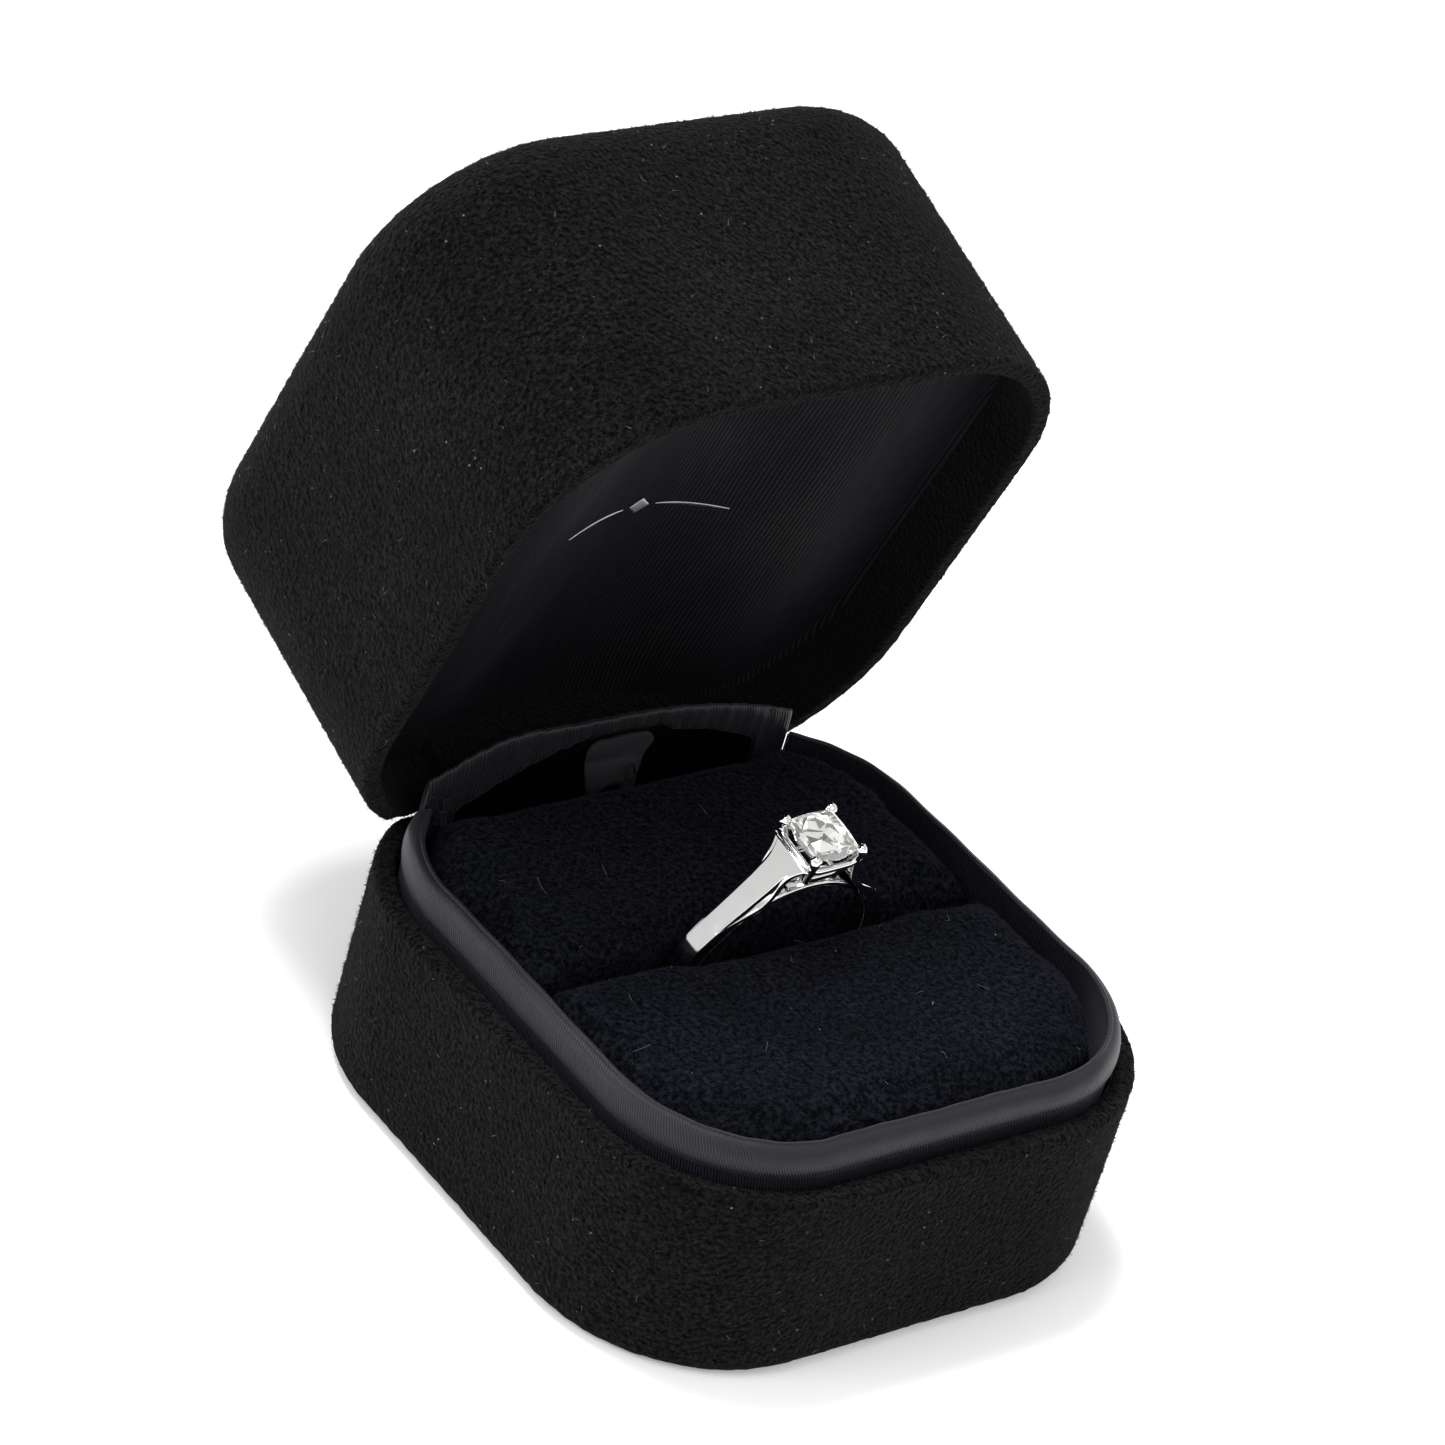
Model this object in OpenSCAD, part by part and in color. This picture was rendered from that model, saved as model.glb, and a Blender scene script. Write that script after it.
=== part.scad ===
// Ring box: suede covered base and hinged lid, satin collar and lid liner, split velvet
// cushion and a solitaire ring standing in the cushion's slot.
// Millimetres, X to the right, Y to the back, Z up. The origin is the centre of the
// underside. The lid stands open at rest.

/* [Box] */
// Outside width, left to right
box_w = 51; // [43:0.5:61]
// Outside depth, front to back
box_d = 52; // [44:0.5:62]
// Radius of the corners seen from above
corner_r = 14.6; // [12.2:0.2:17.4]
// Height of the suede covered base
base_h = 16.8; // [15.4:0.1:20]
// Radius of the bottom edge of the base
foot_r = 1.6; // [1.2:0.1:2]
// Thickness of the suede cover
cover_t = 0.5; // [0.4:0.05:0.6]
// Thickness of the base's moulded shell
shell_t = 1.3; // [1.1:0.1:1.5]

/* [Lid] */
// Height of the lid
lid_h = 28.4; // [26.4:0.2:34]
// Radius round the top edge of the lid
lid_top_r = 5.3; // [4.4:0.1:6.3]
// Thickness of the lid's moulded shell
lid_shell_t = 0.7; // [0.6:0.05:0.8]
// Thickness of the suede turned in round the inside of the lid
lining_t = 0.4; // [0.3:0.05:0.5]
// Angle the lid stands open at rest
open_angle = 72; // [60:1:74]
// Depth of the liner's side edges below the lid's rim
liner_edge = 5.6; // [4.7:0.1:6.7]

/* [Collar] */
// Height of the satin collar above the base
collar_rise = 3.5; // [2.9:0.1:4.2]
// Thickness of the satin
satin_t = 0.35; // [0.3:0.05:0.4]
// Thickness of the collar's inner frame
frame_t = 0.7; // [0.6:0.05:0.8]
// Running gap between the collar and the lid
collar_gap = 0.35; // [0.3:0.05:0.45]

/* [Hinge] */
// Distance of the hinge line from the back of the base
hinge_in = 2.9; // [2.7:0.05:3]
// Radius of the hinge pin
pin_r = 0.5; // [0.42:0.02:0.56]
// Outside radius of the hinge knuckles
knuckle_r = 0.9; // [0.85:0.05:0.95]
// Thickness of the hinge's steel leaves
leaf_t = 0.5; // [0.4:0.05:0.55]
// Height of the satin arch above the base
arch_rise = 8.2; // [6.8:0.1:8.4]

/* [Cushion] */
// Height of the top of the pads above the base
pad_rise = 2.9; // [2.4:0.1:3.4]
// Width of the slot between the two pads
slot_w = 3; // [2.8:0.1:3.6]
// Forward lean of the slot and the ring
lean = 10.5; // [8:0.5:13]

/* [Ring] */
// Inside diameter of the ring
ring_id = 16.4; // [14:0.2:17.4]
// Thickness of the band
band_t = 1.5; // [1.3:0.1:1.8]
// Width of the band
band_w = 2.2; // [1.8:0.1:2.3]
// Height of the stone's girdle above the band
stone_rise = 3.6; // [3.2:0.1:3.8]
// Side of the square stone
stone_w = 4.7; // [4.2:0.1:5.2]
// Sideways tilt of the ring in its slot
ring_roll = -3; // [-4:0.5:2]

/* [Hidden] */
$fn = 96;
eps = 0.2;
hw = box_w / 2;
hd = box_d / 2;
seam = 0.9;
lid_over = 0.15;
rim_z = base_h + seam;
lid_top = rim_z + lid_h;
hinge_y = hd - hinge_in;
hinge_z = rim_z - 0.1;
lid_in = cover_t + lid_shell_t + lining_t - lid_over;
collar_out = lid_in + collar_gap;
collar_in = collar_out + 2 * satin_t + frame_t;
collar_top = base_h + collar_rise;
shell_in = cover_t + shell_t;
floor_z = cover_t + shell_t;
back_in = hd + lid_over - cover_t - lid_shell_t - lining_t;
hinge_half = hw - corner_r;
rivet_x = hinge_half * 0.73;
knuckle_a = hinge_half * 0.22;
knuckle_b = hinge_half * 0.66;
base_knuckles = [[-hinge_half, -knuckle_b - 0.1], [-knuckle_a, knuckle_a],
    [knuckle_b + 0.1, hinge_half]];
lid_knuckles = [[-knuckle_b, -knuckle_a - 0.1], [knuckle_a + 0.1, knuckle_b]];
arch_y = hd - 4.9;
arch_t = 0.7;
arch_room = corner_r - collar_out - 0.2;
arch_reach = arch_y + arch_t - hd + corner_r;
arch_half = hinge_half + sqrt(arch_room * arch_room - arch_reach * arch_reach);
bow_t = 0.3;
leaf_y = hinge_y - leaf_t + 0.05;
frame_back = hd - collar_out - satin_t;
frame_top = collar_top - satin_t - 0.4;
ring_c = [1, 0.1, base_h + 0.4];
ring_r = ring_id / 2 + band_t;
ring_bottom = ring_c[2] - ring_r;
card_z = ring_bottom - 1.3;
stone_z = ring_r + stone_rise;
ring_top = ring_c[2] + stone_z * cos(lean) + 0.75 + stone_w * 0.13;
liner_top = ring_top + 1.15;
liner_drop = liner_top - rim_z - liner_edge;
trough_half = hw * 0.706;
trough_r = (trough_half * trough_half + liner_drop * liner_drop) / (2 * liner_drop);
liner_t = 1;
mitre = open_angle / 2;

// Half profile of a block r wide and h high, with rounded top and bottom outer edges.
module half_profile(r, h, top, bottom) {
    translate([0, bottom]) square([r, h - top - bottom]);
    if (top > 0) {
        square([r - top, h]);
        translate([r - top, h - top]) circle(top);
    }
    if (bottom > 0) {
        square([r - bottom, h]);
        translate([r - bottom, bottom]) circle(bottom);
    }
}

// The box's plan, drawn in by the given amount all round.
module plan(inset) {
    r = corner_r - inset;
    square([box_w - 2 * inset, 2 * (hd - inset - r)], center = true);
    square([2 * (hw - inset - r), box_d - 2 * inset], center = true);
    for (x = [-1, 1], y = [-1, 1]) {
        translate([x * (hw - inset - r), y * (hd - inset - r)]) circle(r);
    }
}

// Straight sided block on the box's plan.
module block(inset, z0, z1) {
    translate([0, 0, z0]) linear_extrude(z1 - z0) plan(inset);
}

// Block on the box's plan with rounded top and bottom edges.
module soft_block(inset, z0, z1, top, bottom) {
    r = corner_r - inset;
    x = hw - inset - r;
    y = hd - inset - r;
    h = z1 - z0;
    translate([0, 0, z0]) {
        for (a = [-1, 1], b = [-1, 1]) {
            translate([a * x, b * y, 0]) rotate_extrude() half_profile(r, h, top, bottom);
        }
        for (a = [0, 180]) {
            rotate([0, 0, a]) translate([-x, y, 0]) rotate([90, 0, 90])
                linear_extrude(2 * x) half_profile(r, h, top, bottom);
            rotate([0, 0, a]) translate([x, y, 0]) rotate([90, 0, 0])
                linear_extrude(2 * y) half_profile(r, h, top, bottom);
        }
        linear_extrude(h) square([2 * x, 2 * y], center = true);
    }
}

// Carries what is drawn for the closed lid to the open position.
module opened() {
    translate([0, hinge_y, hinge_z]) rotate([-open_angle, 0, 0])
        translate([0, -hinge_y, -hinge_z]) children();
}

// Space taken off the back edge so that lid and base can turn about the hinge line.
module back_mitre(side) {
    translate([0, hinge_y, hinge_z + side * 0.2]) rotate([side * mitre, 0, 0])
        translate([-hw, 0, side > 0 ? -8 : 0]) cube([box_w, 12, 8]);
}

// Clearance in the base's back edge for the lid's leaf.
module leaf_relief() {
    translate([-hinge_half - 0.3, hinge_y - 1, hinge_z - 1.8])
        cube([2 * hinge_half + 0.6, 2.9, 3]);
}

// Region across the back that the hinge takes up.
module hinge_zone(half, y0, z0) {
    translate([-half, y0, z0]) cube([2 * half, hd, lid_h]);
}

// Cylinder along X on the hinge line.
module along_hinge(r, x0, x1) {
    translate([x0, hinge_y, hinge_z]) rotate([0, 90, 0]) cylinder(r = r, h = x1 - x0);
}

// Cylinder pointing back along Y.
module stud(r, x, y0, y1, z) {
    translate([x, y0, z]) rotate([-90, 0, 0]) cylinder(r = r, h = y1 - y0);
}

// Arched outline of the satin band at the hinge, half wide, drawn in by the given amount.
module arch_face(half, inset, bottom) {
    top = base_h + arch_rise - inset;
    r = (half * half + 9) / 6;
    r_low = (half * half + 15) / 7.8;
    difference() {
        intersection() {
            translate([-half + inset, bottom]) square([2 * (half - inset), top - bottom]);
            translate([0, top - r]) circle(r);
        }
        intersection() {
            translate([-half * 0.85 - inset, bottom - 1])
                square([half * 1.7 + 2 * inset, top - bottom]);
            translate([0, top - 1.75 + 2 * inset - r_low]) circle(r_low);
        }
    }
}

module base_shell() color([0.12, 0.12, 0.13]) {
    difference() {
        soft_block(cover_t, cover_t, base_h - cover_t, 0, foot_r - cover_t);
        block(shell_in, floor_z, base_h + 1);
        back_mitre(-1);
        leaf_relief();
    }
}

module base_cover() color([0.03, 0.03, 0.035]) {
    difference() {
        soft_block(0, 0, base_h, 0.5, foot_r);
        soft_block(cover_t, cover_t, base_h - cover_t, 0, foot_r - cover_t);
        block(collar_out - 0.1, base_h - 2, base_h + 1);
        block(4, -1, 1);
        back_mitre(-1);
        leaf_relief();
    }
}

module base_bottom_pad() color([0.05, 0.05, 0.055]) {
    block(4.1, 0, cover_t);
}

module foam_block() color([0.25, 0.25, 0.26]) {
    block(collar_in, floor_z, card_z - 1);
}

module cushion_card() color([0.2, 0.18, 0.16]) {
    block(collar_in, card_z - 1, card_z);
}

// One side of the cushion, before the slot is taken off it.
module pad_blank() {
    difference() {
        soft_block(collar_in + 0.1, card_z, base_h + pad_rise, 1.6, 0);
        translate([-hw, arch_y - 0.3, 0]) cube([box_w, hd, lid_h]);
    }
}

// Everything on one side of the leaning slot's middle plane, less half the slot.
module slot_side(side) {
    translate(ring_c) rotate([lean, 0, 0])
        translate([-hw - 5, side > 0 ? slot_w / 2 : -slot_w / 2 - box_d, -box_d])
            cube([box_w + 10, box_d, 2 * box_d]);
}

module cushion_front() color([0.02, 0.02, 0.04]) {
    intersection() {
        pad_blank();
        slot_side(-1);
    }
}

module cushion_back() color([0.02, 0.02, 0.04]) {
    intersection() {
        pad_blank();
        slot_side(1);
    }
}

module collar_frame() color([0.22, 0.2, 0.18]) {
    difference() {
        block(collar_out + satin_t, floor_z, frame_top);
        block(collar_in - satin_t, floor_z - 1, collar_top);
        hinge_zone(arch_half + 0.3, hd / 2, base_h - 1.4);
        translate([-arch_half - 0.3, arch_y - 0.3, card_z + 2])
            cube([2 * arch_half + 0.6, hinge_y + 0.05 - arch_y + 0.3, base_h]);
        for (x = [-rivet_x, rivet_x]) {
            stud(0.6, x, hinge_y, hd, 10);
        }
    }
}

module collar_satin() color([0.11, 0.1, 0.13]) {
    difference() {
        soft_block(collar_out, base_h - 4.8, collar_top, 1.2, 0);
        block(collar_in, base_h - 6, collar_top + 1);
        difference() {
            block(collar_out + satin_t, base_h - 6, frame_top);
            block(collar_in - satin_t, base_h - 7, collar_top);
        }
        hinge_zone(arch_half + 0.2, hd / 2, 0);
    }
}

module hinge_base_leaf() color([0.6, 0.6, 0.62]) {
    difference() {
        union() {
            translate([-hinge_half, leaf_y, 8])
                cube([2 * hinge_half, leaf_t, hinge_z - 9.2]);
            for (s = base_knuckles) {
                along_hinge(knuckle_r, s[0], s[1]);
                translate([s[0], leaf_y, hinge_z - 2]) cube([s[1] - s[0], leaf_t, 2]);
            }
        }
        along_hinge(pin_r, -hw, hw);
        for (x = [-rivet_x, rivet_x]) {
            stud(0.6, x, leaf_y - 1, hd, 10);
        }
    }
}
module hinge_pin() color([0.75, 0.75, 0.77]) {
    along_hinge(pin_r, -hinge_half, hinge_half);
    along_hinge(knuckle_r - 0.1, -hinge_half - 0.4, -hinge_half);
    along_hinge(knuckle_r - 0.1, hinge_half, hinge_half + 0.4);
}

module hinge_bow() color([0.55, 0.55, 0.57]) {
    difference() {
        union() {
            translate([0, arch_y + 0.2 + bow_t, 0]) rotate([90, 0, 0])
                linear_extrude(bow_t) arch_face(arch_half, 0.2, 9);
            translate([-arch_half + 0.2, arch_y + 0.2, 9])
                cube([2 * arch_half - 0.4, bow_t, 2]);
            translate([-hinge_half, arch_y + 0.2, 9])
                cube([2 * hinge_half, leaf_y - arch_y - 0.2, 2]);
        }
        for (x = [-rivet_x, rivet_x]) {
            stud(0.6, x, 0, hd, 10);
        }
    }
}

module hinge_band() color([0.11, 0.1, 0.13]) {
    difference() {
        translate([0, arch_y + arch_t, 0]) rotate([90, 0, 0])
            linear_extrude(arch_t) arch_face(arch_half, 0, base_h - 2.3);
        translate([0, arch_y + 0.2 + bow_t, 0]) rotate([90, 0, 0])
            linear_extrude(bow_t) arch_face(arch_half, 0.2, 9);
    }
}

module hinge_tongue() color([0.11, 0.1, 0.13]) {
    top = base_h + 4.4;
    difference() {
        union() {
            translate([-2.7, arch_y, 12]) cube([6.2, arch_t, top - 13.2]);
            translate([-1.7, arch_y, 12]) cube([4.2, arch_t, top - 12.2]);
            stud(1, -1.7, arch_y, arch_y + arch_t, top - 1.2);
            stud(1, 2.5, arch_y, arch_y + arch_t, top - 1.2);
            translate([-2.7, arch_y, 12]) cube([6.2, leaf_y - arch_y, 0.6]);
        }
    }
}

module hinge_base_rivets() color([0.75, 0.75, 0.77]) {
    for (x = [-rivet_x, rivet_x]) {
        stud(0.6, x, arch_y + 0.2, frame_back, 10);
        stud(1, x, arch_y - 0.05, arch_y + 0.2, 10);
    }
}

module lid_shell() color([0.12, 0.12, 0.13]) {
    opened() difference() {
        soft_block(cover_t - lid_over, rim_z + cover_t, lid_top - cover_t, lid_top_r - cover_t, 0);
        soft_block(lid_in - lining_t, rim_z - 1, lid_top - cover_t - 1,
            lid_top_r - cover_t - lid_shell_t, 0);
        back_mitre(1);
        for (x = [-rivet_x, rivet_x]) {
            stud(0.6, x, hinge_y, hd - cover_t + lid_over, hinge_z + 5);
        }
    }
}

module lid_cover() color([0.03, 0.03, 0.035]) {
    opened() difference() {
        soft_block(-lid_over, rim_z, lid_top, lid_top_r, 0.3);
        soft_block(cover_t - lid_over, rim_z + cover_t, lid_top - cover_t, lid_top_r - cover_t, 0);
        block(lid_in, rim_z - 1, rim_z + 1);
        back_mitre(1);
    }
}

module lid_lining() color([0.03, 0.03, 0.035]) {
    opened() difference() {
        block(lid_in - lining_t, rim_z + cover_t, liner_top + liner_t + 1);
        block(lid_in, rim_z, lid_top);
        back_mitre(1);
        for (x = [-rivet_x, rivet_x]) {
            stud(0.6, x, hinge_y, hd, hinge_z + 5);
        }
    }
}

// Slab that follows the dished liner, from depth a to depth b behind its face.
module dished(inset, a, b) {
    edge = rim_z + liner_edge;
    intersection() {
        block(inset, rim_z, lid_top);
        translate([0, hd, 0]) rotate([90, 0, 0]) linear_extrude(box_d) difference() {
            union() {
                translate([0, liner_top - trough_r]) circle(trough_r + b);
                translate([-hw, edge - 4]) square([box_w, 4 + b]);
            }
            translate([0, liner_top - trough_r]) circle(trough_r + a);
            translate([-hw, edge - 60 + a]) square([box_w, 60]);
        }
    }
}

module liner_card() color([0.2, 0.18, 0.16]) {
    opened() dished(lid_in + 0.05, satin_t, liner_t);
}

module liner_satin() color([0.09, 0.085, 0.1]) {
    opened() dished(lid_in + 0.05, 0, satin_t);
}

module hinge_lid_leaf() color([0.6, 0.6, 0.62]) {
    opened() difference() {
        union() {
            translate([-hinge_half, back_in - leaf_t, hinge_z + 1.3])
                cube([2 * hinge_half, leaf_t, 6]);
            for (s = lid_knuckles) {
                along_hinge(knuckle_r, s[0], s[1]);
                translate([s[0], hinge_y + 0.2, hinge_z])
                    cube([s[1] - s[0], back_in - hinge_y - 0.2, 1.4]);
            }
        }
        along_hinge(pin_r + 0.05, -hw, hw);
        for (x = [-rivet_x, rivet_x]) {
            stud(0.6, x, hinge_y, hd, hinge_z + 5);
        }
    }
}

module hinge_lid_rivets() color([0.75, 0.75, 0.77]) {
    opened() {
        for (x = [-rivet_x, rivet_x]) {
            stud(0.6, x, back_in - leaf_t, hd - cover_t + lid_over, hinge_z + 5);
            stud(1, x, back_in - leaf_t - 0.3, back_in - leaf_t, hinge_z + 5);
        }
    }
}

// Stands the ring, drawn upright about its own centre, in the slot.
module in_slot() {
    translate(ring_c) rotate([lean, 0, 0]) rotate([0, ring_roll, 0]) children();
}

// Everything below a plane through [0, 0, z] that falls away at the given angle.
module below(z, angle, turn) {
    rotate([0, 0, turn]) translate([0, 0, z]) rotate([0, angle, 0])
        translate([-15, -15, -30]) cube(30);
}

// Square stone with a bevelled crown and a pointed pavilion, girdle at height zero.
module stone() {
    h = stone_w / 2;
    intersection() {
        translate([-h, -h, -3]) cube([stone_w, stone_w, 3.62]);
        for (t = [0, 90, 180, 270]) {
            below(h * tan(34) + 0.08, 34, t);
        }
        intersection_for (t = [0, 90, 180, 270]) {
            rotate([180, 0, t]) below(h * tan(49) + 0.08, 49, 0);
        }
    }
}

module ring_shank() color([0.85, 0.85, 0.86]) {
    b = band_w / 2;
    r0 = ring_id / 2;
    reach = ring_r + stone_rise - 1.2;
    side = stone_w / 2 + 0.1;
    in_slot() {
        rotate([90, 0, 0]) rotate_extrude() polygon([[r0, 0.15 - b], [r0 + 0.15, -b],
            [ring_r - 0.4, -b], [ring_r, 0.4 - b], [ring_r, b - 0.4], [ring_r - 0.4, b],
            [r0 + 0.15, b], [r0, b - 0.15]]);
        for (m = [0, 180]) {
            rotate([0, 0, m]) intersection() {
                translate([0, 4, 0]) rotate([90, 0, 0]) linear_extrude(8) polygon([
                    [-ring_r * 0.794, ring_r * 0.608], [-side, reach + 0.3],
                    [-side, reach - 1.5], [-ring_r * 0.56, ring_r * 0.77]]);
                linear_extrude(30) polygon([[-ring_r, -b], [-ring_r * 0.75, -b],
                    [-side, -2.1], [-side, 2.1], [-ring_r * 0.75, b], [-ring_r, b]]);
            }
        }
    }
}

module ring_head() color([0.85, 0.85, 0.86]) {
    h = stone_w / 2;
    slant = atan((h - 1.5) * sqrt(2) / 3.3);
    in_slot() difference() {
        union() {
            difference() {
                translate([-1.9, -1.9, ring_r - 0.4]) cube([3.8, 3.8, 1.1]);
                translate([-1.1, -1.1, 0]) cube([2.2, 2.2, 30]);
            }
            difference() {
                translate([-h - 0.1, -h - 0.1, stone_z - 1.3]) cube([2 * h + 0.2, 2 * h + 0.2, 0.6]);
                translate([-h + 0.5, -h + 0.5, 0]) cube([2 * h - 1, 2 * h - 1, 30]);
            }
            for (t = [45, 135, 225, 315]) {
                rotate([0, 0, t]) translate([1.5 * sqrt(2), 0, stone_z - 3.1]) rotate([0, slant, 0]) {
                    cylinder(r = 0.42, h = 3.7);
                    translate([0, 0, 3.7]) sphere(0.5);
                }
            }
        }
        translate([0, 0, stone_z]) stone();
        rotate([90, 0, 0]) translate([0, 0, -10]) cylinder(r = ring_r, h = 20);
    }
}

module diamond() color([0.9, 0.93, 0.97]) {
    in_slot() translate([0, 0, stone_z]) stone();
}

base_shell();
base_cover();
base_bottom_pad();
foam_block();
cushion_card();
cushion_front();
cushion_back();
collar_frame();
collar_satin();
hinge_base_leaf();
hinge_pin();
hinge_bow();
hinge_band();
hinge_tongue();
hinge_base_rivets();
lid_shell();
lid_cover();
lid_lining();
liner_card();
liner_satin();
hinge_lid_leaf();
hinge_lid_rivets();
ring_shank();
ring_head();
diamond();
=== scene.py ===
import logging
import math
from dataclasses import dataclass
from enum import Enum
from typing import Callable, Sequence

import bmesh
import bpy
import numpy as np
from mathutils import Matrix, Vector, noise


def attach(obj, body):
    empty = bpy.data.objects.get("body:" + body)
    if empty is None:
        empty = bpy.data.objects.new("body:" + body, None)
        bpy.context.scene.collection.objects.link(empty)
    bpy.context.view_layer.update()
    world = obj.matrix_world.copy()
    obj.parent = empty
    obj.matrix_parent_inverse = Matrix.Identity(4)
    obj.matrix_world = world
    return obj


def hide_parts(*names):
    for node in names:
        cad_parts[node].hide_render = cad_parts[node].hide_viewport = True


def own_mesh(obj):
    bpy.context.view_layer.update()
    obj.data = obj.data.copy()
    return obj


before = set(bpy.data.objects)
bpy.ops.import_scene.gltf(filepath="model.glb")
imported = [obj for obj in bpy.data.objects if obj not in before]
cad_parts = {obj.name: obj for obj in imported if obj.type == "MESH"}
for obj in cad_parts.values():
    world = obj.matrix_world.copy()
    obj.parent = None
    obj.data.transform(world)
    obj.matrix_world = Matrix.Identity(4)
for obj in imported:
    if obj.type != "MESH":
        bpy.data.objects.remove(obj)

MM = 0.001
YARN = 0.16
LOG = logging.getLogger("ring_box")
Array = np.ndarray
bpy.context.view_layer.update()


class Coords(Enum):
    """Coordinates that a finish is laid by."""

    OBJECT = "Object"
    UV = "UV"


class Face(Enum):
    """Which pad of the cushion is meant."""

    FRONT = -1
    BACK = 1


# ---------------------------------------------------------------- finishes


class Shade:
    """Node tree of one finish, with short ways to add and join its nodes."""

    def __init__(self, name: str) -> None:
        """Starts a material that holds one Principled shader.

        Args:
            name: name of the material.
        """
        self.material = bpy.data.materials.new(name)
        self.material.use_nodes = True
        self.tree = self.material.node_tree
        self.tree.nodes.clear()
        self.out = self.tree.nodes.new("ShaderNodeOutputMaterial")
        self.body = self.tree.nodes.new("ShaderNodeBsdfPrincipled")
        self.join(self.body.outputs["BSDF"], self.out.inputs["Surface"])

    def add(self, kind: str, **values: object) -> bpy.types.Node:
        """Adds a node and sets its plain properties.

        Args:
            kind: node type.
            values: properties to set on the node.

        Returns:
            The new node.
        """
        node = self.tree.nodes.new(kind)
        for key, value in values.items():
            setattr(node, key, value)
        return node

    def join(self, out: bpy.types.NodeSocket, into: bpy.types.NodeSocket) -> None:
        """Links one socket to another."""
        self.tree.links.new(out, into)

    def set(self, **values: object) -> None:
        """Sets values on the shader's own sockets, with underscores for spaces."""
        for key, value in values.items():
            self.body.inputs[key.replace("_", " ")].default_value = value

    def place(self, scale: Sequence[float] = (1, 1, 1), turn: float = 0.0,
              source: Coords = Coords.OBJECT) -> bpy.types.NodeSocket:
        """Gives mapped coordinates.

        Args:
            scale: scale along each axis.
            turn: turn about Z in degrees.
            source: which coordinates.

        Returns:
            The vector socket.
        """
        coords = self.add("ShaderNodeTexCoord")
        mapping = self.add("ShaderNodeMapping")
        mapping.inputs["Scale"].default_value = tuple(scale)
        mapping.inputs["Rotation"].default_value = (0.0, 0.0, math.radians(turn))
        self.join(coords.outputs[source.value], mapping.inputs["Vector"])
        return mapping.outputs["Vector"]

    def noise(self, vector: bpy.types.NodeSocket, scale: float, detail: float = 2.0,
              rough: float = 0.5, distort: float = 0.0) -> bpy.types.NodeSocket:
        """Adds a noise texture.

        Args:
            vector: coordinates.
            scale: scale of the noise.
            detail: octaves.
            rough: weight of the finer octaves.
            distort: distortion.

        Returns:
            The noise value.
        """
        node = self.add("ShaderNodeTexNoise")
        node.inputs["Scale"].default_value = scale
        node.inputs["Detail"].default_value = detail
        node.inputs["Roughness"].default_value = rough
        node.inputs["Distortion"].default_value = distort
        self.join(vector, node.inputs["Vector"])
        return node.outputs["Fac"]

    def cells(self, vector: bpy.types.NodeSocket, scale: float) -> bpy.types.NodeSocket:
        """Adds a cell texture.

        Args:
            vector: coordinates.
            scale: scale of the cells.

        Returns:
            The distance from the nearest cell's point.
        """
        node = self.add("ShaderNodeTexVoronoi")
        node.inputs["Scale"].default_value = scale
        self.join(vector, node.inputs["Vector"])
        return node.outputs["Distance"]

    def bands(self, vector: bpy.types.NodeSocket, scale: float,
              distort: float) -> bpy.types.NodeSocket:
        """Adds even bands across X, as yarns lie in a weave.

        Args:
            vector: coordinates.
            scale: scale of the bands.
            distort: how far they waver.

        Returns:
            The bands' value.
        """
        node = self.add("ShaderNodeTexWave", bands_direction="X")
        node.inputs["Scale"].default_value = scale
        node.inputs["Distortion"].default_value = distort
        node.inputs["Detail"].default_value = 1.0
        self.join(vector, node.inputs["Vector"])
        return node.outputs["Fac"]

    def ramp(self, value: bpy.types.NodeSocket, low: float, high: float,
             first: Sequence[float], last: Sequence[float]) -> bpy.types.NodeSocket:
        """Turns a value into a colour between two stops.

        Args:
            value: the value.
            low: place of the first stop.
            high: place of the last stop.
            first: colour below the first stop.
            last: colour above the last stop.

        Returns:
            The colour socket.
        """
        node = self.add("ShaderNodeValToRGB")
        node.color_ramp.elements[0].position = low
        node.color_ramp.elements[1].position = high
        node.color_ramp.elements[0].color = (*first, 1)
        node.color_ramp.elements[1].color = (*last, 1)
        self.join(value, node.inputs["Fac"])
        return node.outputs["Color"]

    def math(self, kind: str, a: object, b: object) -> bpy.types.NodeSocket:
        """Adds a math node whose inputs are sockets or numbers.

        Args:
            kind: operation.
            a: first input.
            b: second input.

        Returns:
            The result.
        """
        node = self.add("ShaderNodeMath", operation=kind)
        for index, value in enumerate((a, b)):
            if isinstance(value, (int, float)):
                node.inputs[index].default_value = value
            else:
                self.join(value, node.inputs[index])
        return node.outputs["Value"]

    def mix(self, share: bpy.types.NodeSocket, a: object, b: object) -> bpy.types.NodeSocket:
        """Mixes two colours, each a socket or three numbers.

        Args:
            share: share of the second colour.
            a: first colour.
            b: second colour.

        Returns:
            The mixed colour.
        """
        node = self.add("ShaderNodeMix", data_type="RGBA")
        self.join(share, node.inputs[0])
        for index, value in ((6, a), (7, b)):
            if isinstance(value, tuple):
                node.inputs[index].default_value = (*value, 1)
            else:
                self.join(value, node.inputs[index])
        return node.outputs[2]

    def bump(self, height: bpy.types.NodeSocket, depth: float, strength: float = 1.0,
             under: bpy.types.NodeSocket | None = None) -> bpy.types.NodeSocket:
        """Adds a bump of the given depth in metres, over another one if there is one.

        Args:
            height: heights.
            depth: depth in metres.
            strength: strength.
            under: normal that it lies over.

        Returns:
            The bumped normal.
        """
        node = self.add("ShaderNodeBump")
        node.inputs["Distance"].default_value = depth
        node.inputs["Strength"].default_value = strength
        self.join(height, node.inputs["Height"])
        if under is not None:
            self.join(under, node.inputs["Normal"])
        return node.outputs["Normal"]

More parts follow.
